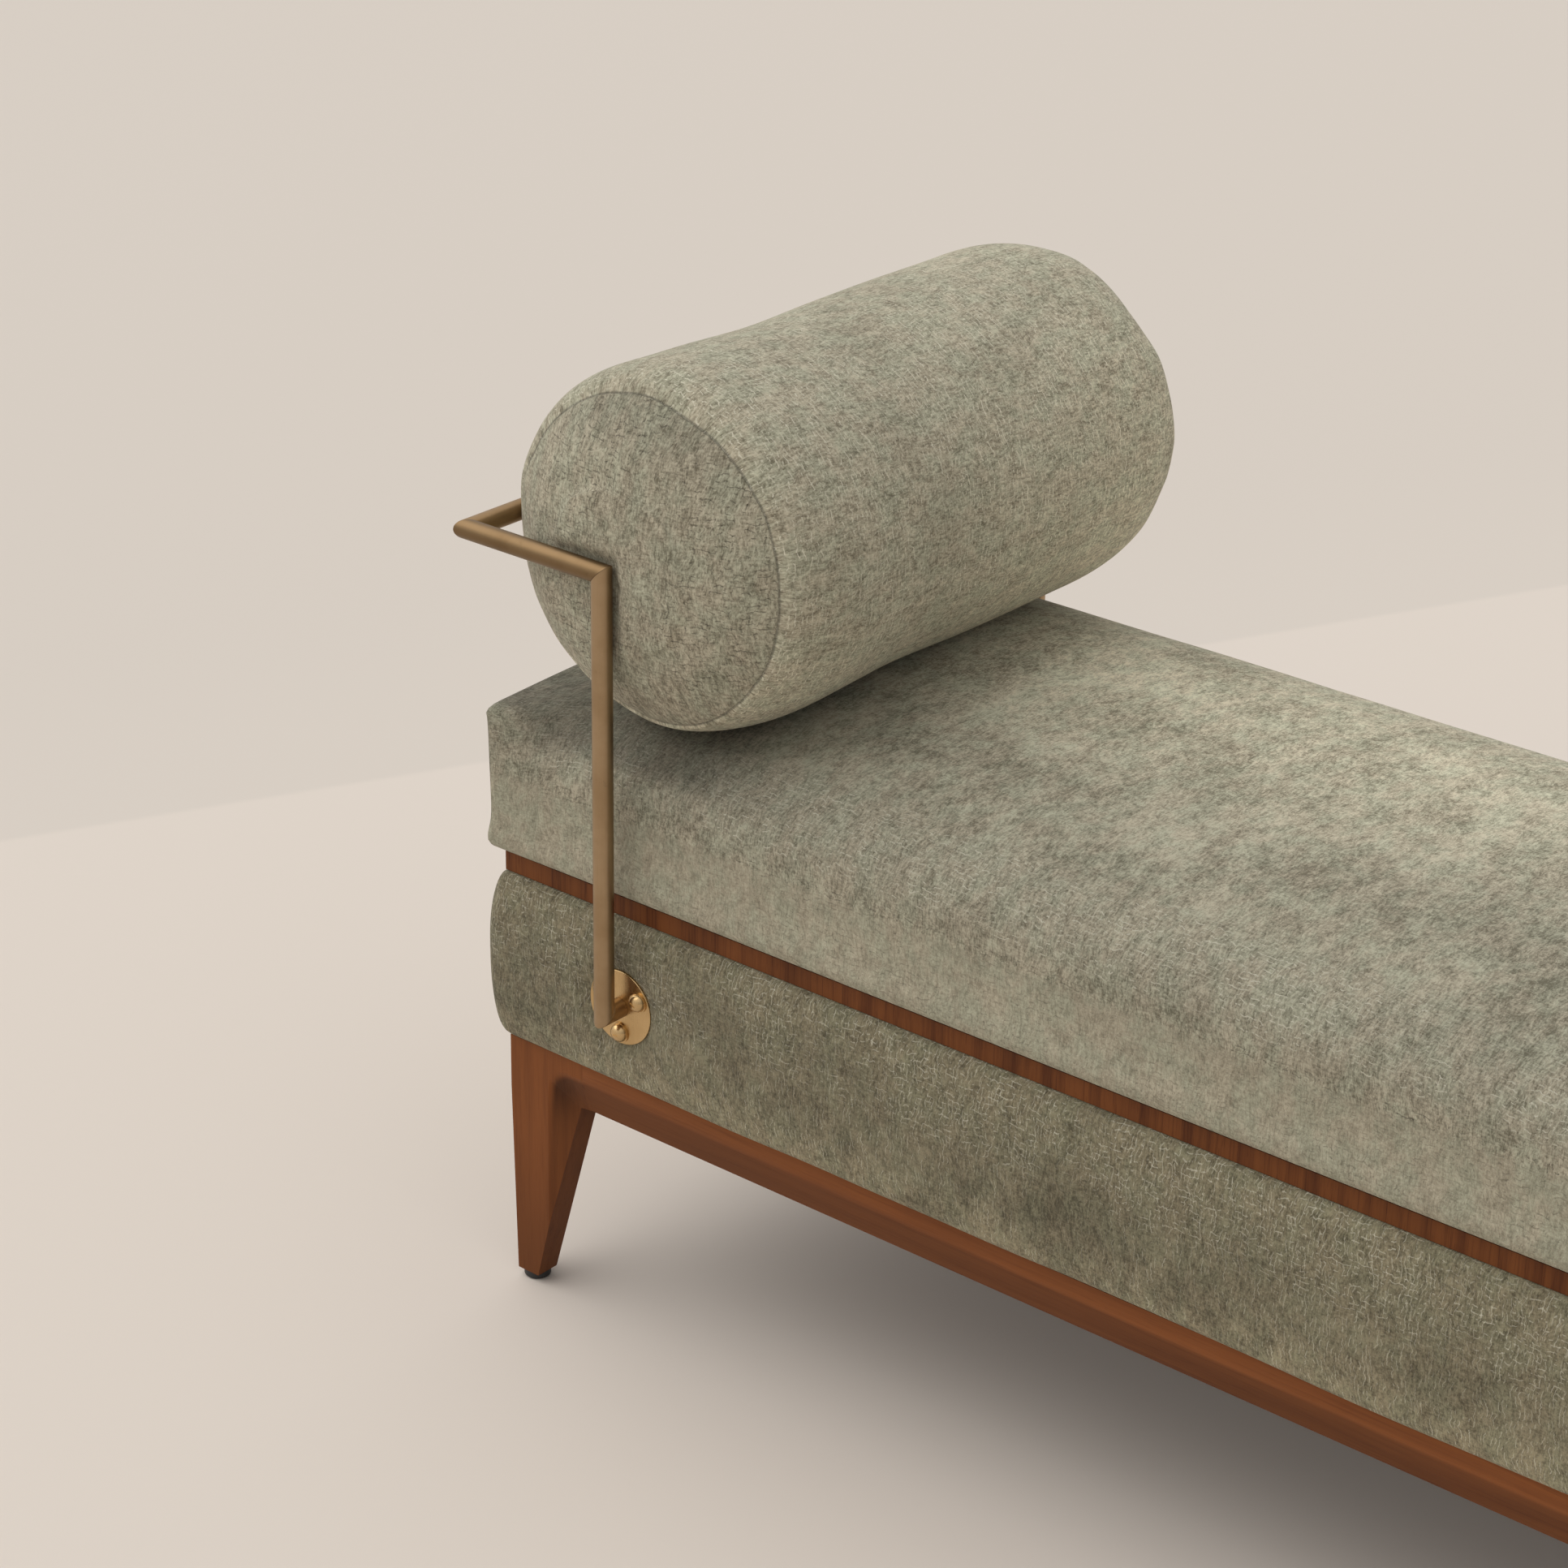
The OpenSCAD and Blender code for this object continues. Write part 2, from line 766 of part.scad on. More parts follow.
// The tape follows the waist of the bolster, low on its left side
module bolster_zip() {
    color(black) on_bolster_axis() rotate([0, 0, 180 + zip_bolster_angle])
        rotate_extrude(angle = zip_sweep) intersection() {
            difference() {
                bolster_outline(zip_t);
                bolster_outline(0);
            }
            translate([0, -bolster_zip_len / 2]) square([bolster_r * 2, bolster_zip_len]);
        }
}

module bolster_zip_pull() {
    path_r = bolster_r_at(bolster_zip_len / 2) + zip_t + seat;
    color(brass) on_bolster_axis() rotate([0, 0, 180 + zip_bolster_angle + zip_sweep / 2])
        translate([path_r, 0, bolster_zip_len / 2 - pull_len]) rotate([0, -90, -90]) zip_pull();
}

// ---- Brass rail ----

function unit(v) = v / norm(v);

// Cut away all that lies past a point in a direction
module cut_past(at, way) {
    big = 6 * tube_d;
    translate(at) rotate([0, acos(way[2]), atan2(way[1], way[0])])
        translate([-big / 2, -big / 2, 0]) cube([big, big, big / 2]);
}

module tube_from(a, b, extra) {
    way = unit(b - a);
    translate(a - extra * way) rotate([0, acos(way[2]), atan2(way[1], way[0])])
        difference() {
            cylinder(d = tube_d, h = norm(b - a) + 2 * extra);
            translate([0, 0, -lap]) cylinder(d = tube_d - 2 * tube_wall, h = norm(b - a) + 2 * extra + 2 * lap);
        }
}

// Piece i of the rail, mitred to the pieces before and after it
module rail_piece(i) {
    a = rail_path[i];
    b = rail_path[i + 1];
    way = unit(b - a);
    before = i > 0 ? unit(a - rail_path[i - 1]) : way;
    after = i < len(rail_path) - 2 ? unit(rail_path[i + 2] - b) : way;
    color(brass) difference() {
        tube_from(a, b, tube_d);
        cut_past(a, -unit(before + way));
        cut_past(b, unit(way + after));
    }
}

module plate(sy) {
    color(brass) difference() {
        at_side(sy) translate([post_x, -plate_back_y, plate_z]) rotate([90, 0, 0]) cylinder(d = plate_d, h = plate_t);
        plate_bolt_holes(slip);
    }
}

// A sphere cut to a low dome of the head's width
module screw_dome() {
    rim = screw_head_h / 4;
    rise = screw_head_h - rim;
    dome_r = (pow(screw_head_d / 2, 2) + pow(rise, 2)) / (2 * rise);
    cylinder(d = screw_head_d, h = rim);
    translate([0, 0, rim]) intersection() {
        cylinder(d = screw_head_d, h = rise);
        translate([0, 0, rise - dome_r]) sphere(dome_r);
    }
}

module plate_screws(sy) {
    color(brass) at_side(sy) for (a = screw_angles)
        translate([post_x + cos(a) * screw_pcd / 2, -plate_face_y, plate_z + sin(a) * screw_pcd / 2])
            rotate([90, 0, 0]) {
                screw_dome();
                translate([0, 0, -screw_len]) cylinder(d = screw_d, h = screw_len);
            }
}

module plate_spacer(sy) {
    color(plywood) difference() {
        at_side(sy) translate([post_x, -box_y, plate_z]) rotate([90, 0, 0])
            cylinder(d = spacer_d, h = plate_back_y - box_y);
        plate_bolt_holes(slip);
    }
}

leg(-1, -1);  // leg_front_left
leg(1, -1);  // leg_front_right
leg(-1, 1);  // leg_back_left
leg(1, 1);  // leg_back_right
long_rail(-1);  // rail_front
long_rail(1);  // rail_back
short_rail(-1);  // rail_left
short_rail(1);  // rail_right
cross_rail(-cross_x);  // cross_rail_left
cross_rail(0);  // cross_rail_middle
cross_rail(cross_x);  // cross_rail_right
corner_blocks();
corner_bolts();
glide_sleeves();
glide(-1, -1);  // glide_front_left
glide(1, -1);  // glide_front_right
glide(-1, 1);  // glide_back_left
glide(1, 1);  // glide_back_right
box_panel_long(-1);  // box_panel_front
box_panel_long(1);  // box_panel_back
box_panel_short(-1);  // box_panel_left
box_panel_short(1);  // box_panel_right
box_ribs();
box_bolts();
dust_cover();
base_pad_long(-1);  // base_pad_front
base_pad_long(1);  // base_pad_back
base_pad_short(-1);  // base_pad_left
base_pad_short(1);  // base_pad_right
base_cover_long(-1);  // base_cover_front
base_cover_long(1);  // base_cover_back
base_cover_short(-1);  // base_cover_left
base_cover_short(1);  // base_cover_right
band_long(-1);  // band_front
band_long(1);  // band_back
band_short(-1);  // band_left
band_short(1);  // band_right
deck();
mattress_core();
mattress_cover();
mattress_zip();
mattress_zip_pull();
bolster_core();
bolster_cover();
bolster_zip();
bolster_zip_pull();
rail_piece(0);  // rail_stub_front
rail_piece(1);  // rail_post_front
rail_piece(2);  // rail_arm_front
rail_piece(3);  // rail_crossbar
rail_piece(4);  // rail_arm_back
rail_piece(5);  // rail_post_back
rail_piece(6);  // rail_stub_back
plate(-1);  // plate_front
plate(1);  // plate_back
plate_screws(-1);  // plate_screws_front
plate_screws(1);  // plate_screws_back
plate_spacer(-1);  // plate_spacer_front
plate_spacer(1);  // plate_spacer_back
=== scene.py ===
"""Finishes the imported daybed: worked wood, satin brass, padded cloth, and a plain stage."""

import math
from collections import namedtuple

import bmesh
import bpy
import numpy as np
from mathutils import Matrix, Vector, noise


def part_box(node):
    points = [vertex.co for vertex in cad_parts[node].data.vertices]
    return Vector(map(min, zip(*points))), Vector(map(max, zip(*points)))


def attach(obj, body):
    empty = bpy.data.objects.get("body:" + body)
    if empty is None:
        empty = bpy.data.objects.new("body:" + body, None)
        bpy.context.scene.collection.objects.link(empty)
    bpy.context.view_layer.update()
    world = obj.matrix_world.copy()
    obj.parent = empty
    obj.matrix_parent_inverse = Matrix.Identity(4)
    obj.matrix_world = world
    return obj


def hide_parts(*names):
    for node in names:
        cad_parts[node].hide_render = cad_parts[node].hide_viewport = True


bl_info = {
    "name": "Upholstered daybed",
    "version": (1, 0, 0),
    "blender": (4, 5, 0),
    "location": "View3D > Sidebar > Daybed",
    "description": "Builds the visible pieces of a daybed with a brass rail and a bolster",
    "category": "Object",
}

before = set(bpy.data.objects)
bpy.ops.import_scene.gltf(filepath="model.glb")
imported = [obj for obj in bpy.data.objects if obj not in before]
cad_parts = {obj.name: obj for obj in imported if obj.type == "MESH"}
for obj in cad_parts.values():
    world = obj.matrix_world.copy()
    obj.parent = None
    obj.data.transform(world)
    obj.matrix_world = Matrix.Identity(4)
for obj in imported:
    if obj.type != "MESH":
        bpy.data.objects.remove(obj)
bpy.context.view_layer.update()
MM = 0.001


# ---- Sizes and colours that a user would change ----


class DaybedCloth(bpy.types.PropertyGroup):
    """Colours and make of the chenille covers"""

    light: bpy.props.FloatVectorProperty(
        name="Sage", description="Colour of the pile where it lies towards the light",
        subtype="COLOR", size=3, min=0, max=1, default=(0.50, 0.468, 0.362),
    )
    dark: bpy.props.FloatVectorProperty(
        name="Olive", description="Colour between the threads",
        subtype="COLOR", size=3, min=0, max=1, default=(0.145, 0.129, 0.088),
    )
    thread: bpy.props.FloatVectorProperty(
        name="Loose thread", description="Colour of the fine crossing threads",
        subtype="COLOR", size=3, min=0, max=1, default=(0.62, 0.59, 0.47),
    )
    # The base's cloth is the same cloth painted darker and more olive: painted shade
    shade: bpy.props.FloatVectorProperty(
        name="Base shade", description="Tint of the same cloth on the base, where it is darker",
        subtype="COLOR", size=3, min=0, max=1, default=(0.57, 0.545, 0.46),
    )
    pucker: bpy.props.FloatProperty(
        name="Pucker", description="Height of the small gathers beside the seams",
        subtype="DISTANCE", unit="LENGTH", min=0, max=0.004, default=0.0011,
    )
    groove: bpy.props.FloatProperty(
        name="Seam depth", description="Depth of the seams",
        subtype="DISTANCE", unit="LENGTH", min=0, max=0.004, default=0.0014,
    )
    slim: bpy.props.FloatProperty(
        name="Slack", description="How far a cushion is drawn in before its cover fills out",
        subtype="DISTANCE", unit="LENGTH", min=0, max=0.006, default=0.003,
    )


class DaybedWood(bpy.types.PropertyGroup):
    """Colours and edges of the walnut"""

    colour: bpy.props.FloatVectorProperty(
        name="Walnut", description="Colour of the stained wood",
        subtype="COLOR", size=3, min=0, max=1, default=(0.168, 0.055, 0.0155),
    )
    dark: bpy.props.FloatVectorProperty(
        name="Figure", description="Colour of the dark lines in the wood",
        subtype="COLOR", size=3, min=0, max=1, default=(0.082, 0.024, 0.008),
    )
    edge: bpy.props.FloatProperty(
        name="Edge", description="Width of the softened edges",
        subtype="DISTANCE", unit="LENGTH", min=0.0002, max=0.003, default=0.0012,
    )


class DaybedMetal(bpy.types.PropertyGroup):
    """Colours and edges of the brass"""

    # The arms take this brass painted darker, as painted shade; the bar and stubs take it as it is
    brass: bpy.props.FloatVectorProperty(
        name="Brass", description="Colour of the lying tubes",
        subtype="COLOR", size=3, min=0, max=1, default=(0.345, 0.225, 0.115),
    )
    # The same brass painted lighter and paler on the posts: painted light
    post: bpy.props.FloatVectorProperty(
        name="Post", description="Colour of the upright tubes",
        subtype="COLOR", size=3, min=0, max=1, default=(0.385, 0.270, 0.158),
    )
    bright: bpy.props.FloatVectorProperty(
        name="Bright brass", description="Colour of the plates and screws",
        subtype="COLOR", size=3, min=0, max=1, default=(0.58, 0.40, 0.20),
    )
    edge: bpy.props.FloatProperty(
        name="Edge", description="Width of the softened edges",
        subtype="DISTANCE", unit="LENGTH", min=0.0001, max=0.002, default=0.0006,
    )


class DaybedStage(bpy.types.PropertyGroup):
    """Colours and lights of the room"""

    floor: bpy.props.FloatVectorProperty(
        name="Floor", description="Colour of the floor",
        subtype="COLOR", size=3, min=0, max=1, default=(0.73, 0.66, 0.595),
    )
    wall: bpy.props.FloatVectorProperty(
        name="Wall", description="Colour beyond the floor",
        subtype="COLOR", size=3, min=0, max=1, default=(0.68, 0.62, 0.56),
    )
    fill: bpy.props.FloatProperty(
        name="Fill", description="Strength of the even light from all sides", min=0, max=2, default=0.50,
    )
    key: bpy.props.FloatProperty(
        name="Key", description="Strength of the soft lamp", min=0, max=10, default=1.35,
    )


# ---- Working with objects ----

MERGE_WITHIN = 0.002 * MM  # points of a solid closer than this are one
FLAT_WITHIN = 0.4  # faces of a solid that turn by fewer degrees are one
SMOOTH_BELOW = 42  # a softened piece is smooth across smaller angles


def only(obj):
    """Selects this object alone and makes it active."""
    bpy.ops.object.select_all(action="DESELECT")
    obj.select_set(True)
    bpy.context.view_layer.objects.active = obj


def apply(obj, kind, **settings):
    """Adds a modifier with these settings and applies it."""
    only(obj)
    bpy.ops.object.modifier_add(type=kind)
    modifier = obj.modifiers[-1]
    for key, value in settings.items():
        setattr(modifier, key, value)
    bpy.ops.object.modifier_apply(modifier=modifier.name)


def smooth(obj, degrees):
    """Smooths the faces across edges that turn by less than an angle."""
    only(obj)
    bpy.ops.object.shade_smooth_by_angle(angle=math.radians(degrees))


def linked(name, data):
    """A new object in the scene for a mesh, a lamp or a camera."""
    obj = bpy.data.objects.new(name, data)
    bpy.context.scene.collection.objects.link(obj)
    return obj


def joined(parts, name):
    """Joins new objects into the first of them."""
    bpy.ops.object.select_all(action="DESELECT")
    for part in parts:
        part.select_set(True)
    bpy.context.view_layer.objects.active = parts[0]
    bpy.ops.object.join()
    parts[0].name = name
    return parts[0]


def turn_outward(obj):
    """Makes all the faces of a form point outwards."""
    only(obj)
    bpy.ops.object.mode_set(mode="EDIT")
    bpy.ops.mesh.select_all(action="SELECT")
    bpy.ops.mesh.normals_make_consistent(inside=False)
    bpy.ops.object.mode_set(mode="OBJECT")


def copy_of(node, name):
    """A merged copy of a solid, with its flat faces whole again."""
    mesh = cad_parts[node].data.copy()
    mesh.name = name
    obj = linked(name, mesh)
    only(obj)
    bpy.ops.object.mode_set(mode="EDIT")
    bpy.ops.mesh.select_all(action="SELECT")
    bpy.ops.mesh.remove_doubles(threshold=MERGE_WITHIN)
    bpy.ops.mesh.dissolve_limited(angle_limit=math.radians(FLAT_WITHIN))
    bpy.ops.object.mode_set(mode="OBJECT")
    if mesh.has_custom_normals:
        bpy.ops.mesh.customdata_custom_splitnormals_clear()
    return obj


def soften(obj, width, sharper, keep=None, segments=2):
    """Bevels the edges that turn by more than an angle, apart from those for which keep is true."""
    only(obj)
    bpy.ops.object.mode_set(mode="EDIT")
    bpy.ops.mesh.select_mode(type="EDGE")
    bpy.ops.mesh.select_all(action="DESELECT")
    work = bmesh.from_edit_mesh(obj.data)
    found = 0
    for edge in work.edges:
        if len(edge.link_faces) != 2 or edge.calc_face_angle(0) < math.radians(sharper):
            continue
        if keep and keep(edge.verts[0].co, edge.verts[1].co):
            continue
        edge.select = True
        found += 1
    bmesh.update_edit_mesh(obj.data)
    if found:
        bpy.ops.mesh.bevel(offset=width, segments=segments, profile=0.5, affect="EDGES", clamp_overlap=True)
    bpy.ops.object.mode_set(mode="OBJECT")
    smooth(obj, SMOOTH_BELOW)
    apply(obj, "WEIGHTED_NORMAL", keep_sharp=True, weight=60)


def dress(obj, material, slot, body, *nodes):
    """Gives a new piece its finish, its body and the solids that it stands for."""
    obj.data.materials.clear()
    obj.data.materials.append(material)
    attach(obj, body)
    if nodes:
        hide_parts(*nodes)
    return obj


def paint_node(node, material):
    """A new finish on a solid that stays."""
    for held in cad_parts[node].material_slots:
        held.material = material


# ---- Shader arithmetic ----


class Wire:
    """A shader output that takes part in Python arithmetic."""

    def __init__(self, paint, socket):
        self.paint, self.socket = paint, socket

    def __add__(self, other):
        return self.paint.math("ADD", self, other)

    __radd__ = __add__

    def __sub__(self, other):
        return self.paint.math("SUBTRACT", self, other)

    def __rsub__(self, other):
        return self.paint.math("SUBTRACT", other, self)

    def __mul__(self, other):
        return self.paint.math("MULTIPLY", self, other)

    __rmul__ = __mul__

    def __truediv__(self, other):
        return self.paint.math("DIVIDE", self, other)


class Paint:
    """The nodes of one material."""

    def __init__(self, name, tree=None):
        self.material = None
        if tree is None:
            self.material = bpy.data.materials.new(name)
            self.material.use_nodes = True
            tree = self.material.node_tree
        self.tree = tree
        self.tree.nodes.clear()

    def node(self, kind, values=None, out=0, **settings):
        """One node: its settings first, then the values or links of its sockets."""
        made = self.tree.nodes.new(kind)
        for key, value in settings.items():
            setattr(made, key, value)
        for key, value in (values or {}).items():
            if isinstance(value, Wire):
                self.tree.links.new(value.socket, made.inputs[key])
            else:
                made.inputs[key].default_value = value
        return Wire(self, made.outputs[out]) if len(made.outputs) else None

    def math(self, operation, *terms):
        """A Math node on one or more values."""
        return self.node("ShaderNodeMath", dict(enumerate(terms)), operation=operation)

    def part(self, vector, axis):
        """One of the three values of a vector."""
        return self.node("ShaderNodeSeparateXYZ", {0: vector}, out="XYZ"[axis])

    def join(self, x, y, z=0.0):
        """A vector of three values."""
        return self.node("ShaderNodeCombineXYZ", {0: x, 1: y, 2: z})

    def step(self, value, low, high):
        """0 below low, 1 above high, and a soft rise between them."""
        values = {"Value": value, "From Min": low, "From Max": high}
        return self.node("ShaderNodeMapRange", values, interpolation_type="SMOOTHSTEP")

    def noise(self, vector, scale=1.0, detail=2.0, rough=0.5, flat=True, bend=0.0):
        """Smooth noise from 0 to 1, on two of the vector's values or on all three."""
        return self.node(
            "ShaderNodeTexNoise",
            {"Vector": vector, "Scale": scale, "Detail": detail, "Roughness": rough, "Distortion": bend},
            noise_dimensions="2D" if flat else "3D",
        )

    def blend(self, factor, a, b):
        """Mixes two colours."""
        a, b = [c if isinstance(c, Wire) else (*c, 1) for c in (a, b)]
        return self.node("ShaderNodeMix", {0: factor, 6: a, 7: b}, out=2, data_type="RGBA", clamp_factor=True)

    def scaled(self, colour, value):
        """A colour made lighter or darker by a value."""
        return self.node("ShaderNodeVectorMath", {0: colour, "Scale": value}, operation="SCALE")

    def tinted(self, colour, tint):
        """A colour times another colour."""
        return self.node("ShaderNodeVectorMath", {0: colour, 1: tint}, operation="MULTIPLY")

    def bump(self, height, strength, distance):
        """A normal that leans with a height."""
        return self.node("ShaderNodeBump", {"Height": height, "Strength": strength, "Distance": distance})

    def surface(self, **sockets):
        """The Principled surface, and the output."""
        values = {key.replace("_", " "): value for key, value in sockets.items()}
        for key, value in values.items():
            if isinstance(value, tuple) and len(value) == 3:
                values[key] = (*value, 1)
        shader = self.node("ShaderNodeBsdfPrincipled", values)
        self.node("ShaderNodeOutputMaterial", {0: shader})
        return self.material

    def place(self):
        """The point on the piece, in the daybed's own metres."""
        return self.node("ShaderNodeTexCoord", out="Object")


# ---- Finishes ----

# Painted light and shade on the leg frame: how light its flat faces are along the rails and on the legs, and
# how light its bevels are, which are painted darker as shade
RAIL_TONE, LEG_TONE, BEVEL_SHADE = 1.42, 1.30, 0.92
# A knee's middle, from the leg's outside and under the rail's top, its width and height, and how deep the
# shade painted into its hollow is
KNEE_IN, KNEE_UNDER, KNEE_WIDE, KNEE_TALL, KNEE_SHADE = 47 * MM, 26 * MM, 27 * MM, 32 * MM, 0.52


def frame_painted_shade(p, axes, along):
    """Painted shade on the leg frame: lightest on flat faces, darker on the bevels, and darkest in the
    hollows of the knees, where shade falls.
    """
    leg_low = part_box("leg_front_left")[0]
    rail_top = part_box("rail_front")[1].z
    out_x = p.math("ABSOLUTE", axes[0]) * -1.0 - leg_low.x
    out_y = p.math("ABSOLUTE", axes[1]) * -1.0 - leg_low.y
    bevel = p.step(p.math("MINIMUM", out_x, out_y), 0.2 * MM, 2.2 * MM)
    across = (p.math("MAXIMUM", out_x, out_y) - KNEE_IN) / KNEE_WIDE
    above = (axes[2] - rail_top + KNEE_UNDER) / KNEE_TALL
    # painted shade in the hollow of each knee
    knee_shade = p.math("EXPONENT", (across * across + above * above) * -1.0)
    flat = LEG_TONE if along == 2 else RAIL_TONE
    # bevels painted darker as shade, flat faces painted lighter as lit
    return flat - bevel * (flat - BEVEL_SHADE + knee_shade * KNEE_SHADE)


def walnut(name, along, settings, figure=1.0, frame_shaded=False):
    """Oiled walnut with its grain along one axis of the daybed, and with painted shade on its bevels and
    knees where it is part of the leg frame.
    """
    p = Paint(name)
    axes = [p.part(p.place(), i) for i in range(3)]
    run = axes[along]
    a, b = [axes[i] for i in range(3) if i != along]
    drift = p.noise(p.join(run * 3.0, a * 9.0, b * 9.0), detail=3, flat=False)
    ring = p.noise(p.join(run * 2.2 + drift * 0.8, a * 70.0, b * 70.0), detail=4, rough=0.6, flat=False)
    line = p.noise(p.join(run * 14.0, a * 520.0, b * 520.0), detail=3, rough=0.65, flat=False)
    pore = p.noise(p.join(run * 60.0, a * 1500.0, b * 1500.0), detail=2, rough=0.5, flat=False)
    cloud = p.noise(p.join(run * 5.0, a * 16.0, b * 16.0), detail=2, flat=False)
    dark = p.step(ring, 0.42, 0.70) * 0.40 * figure + p.step(line, 0.48, 0.75) * 0.32 * figure
    dark = dark + p.step(pore, 0.58, 0.72) * 0.22 * figure
    tone = 0.80 + cloud * 0.40
    # painted shade on the bevels and knees of the leg frame
    if frame_shaded:
        tone = tone * frame_painted_shade(p, axes, along)
    colour = p.scaled(p.blend(dark, tuple(settings.colour), tuple(settings.dark)), tone)
    height = line * 0.4 + pore * 0.6
    return p.surface(
        Base_Color=colour,
        Roughness=0.42 + line * 0.14,
        Specular_IOR_Level=0.12,
        Coat_Weight=0.02,
        Coat_Roughness=0.3,
        Normal=p.bump(height, 0.16, 0.0004),
    )


def ply(name):
    """Bare birch plywood with its layers."""
    p = Paint(name)
    place = p.place()
    x, y, z = [p.part(place, i) for i in range(3)]
    face = p.noise(p.join(x * 4.0, y * 60.0, z * 60.0), detail=4, rough=0.6, flat=False)
    layers = {"Vector": p.join(x * 0, y * 0, z), "Scale": 150.0, "Distortion": 0.4}
    layer = p.node("ShaderNodeTexWave", layers, out=1)
    colour = p.blend(face, (0.62, 0.46, 0.28), (0.44, 0.30, 0.16))
    colour = p.scaled(colour, 0.9 + layer * 0.12)
    return p.surface(Base_Color=colour, Roughness=0.7, Normal=p.bump(face, 0.1, 0.0005))


def satin_brass(name, colour, rough, along=2):
    """Brushed brass with a little age in it, its strokes along one axis of the daybed."""
    p = Paint(name)
    axes = [p.part(p.place(), i) for i in range(3)]
    stretch = [axes[i] * (30.0 if i == along else 1400.0) for i in range(3)]
    brush = p.noise(p.join(*stretch), detail=3, rough=0.6, flat=False)
    cloud = p.noise(p.place(), 26.0, detail=4, rough=0.6, flat=False)
    worn = p.noise(p.place(), 160.0, detail=3, rough=0.6, flat=False)
    aged = tuple(c * k for c, k in zip(colour, (0.86, 0.83, 0.78)))
    base = p.blend(p.step(cloud, 0.35, 0.7), colour, aged)
    base = p.blend(p.step(worn, 0.62, 0.78) * 0.3, base, tuple(c * 0.55 for c in colour))
    return p.surface(
        Base_Color=p.scaled(base, 0.93 + brush * 0.14),
        Metallic=1.0,
        Roughness=rough + brush * 0.10 + cloud * 0.06,
        Normal=p.bump(brush, 0.10, 0.0002),
    )


def plain(name, colour, rough, grain=900.0, metallic=0.0, depth=0.15):
    """A plain finish with a fine even grain: nylon, zinc or backing cloth."""
    p = Paint(name)
    fine = p.noise(p.place(), grain, detail=3, rough=0.6, flat=False)
    cloud = p.noise(p.place(), grain / 30, detail=2, flat=False)
    mottled = p.blend(cloud, colour, tuple(c * 0.75 for c in colour))
    return p.surface(
        Base_Color=p.scaled(mottled, 0.85 + fine * 0.3),
        Metallic=metallic,
        Roughness=rough + fine * 0.12,
        Normal=p.bump(fine, depth, 0.0003),
    )


# Distance between the loose threads across the bed, along it, and in the extra hair of the base
WEFT_PITCH, WARP_PITCH, HAIR_PITCH = 4.6 * MM, 5.0 * MM, 3.1 * MM


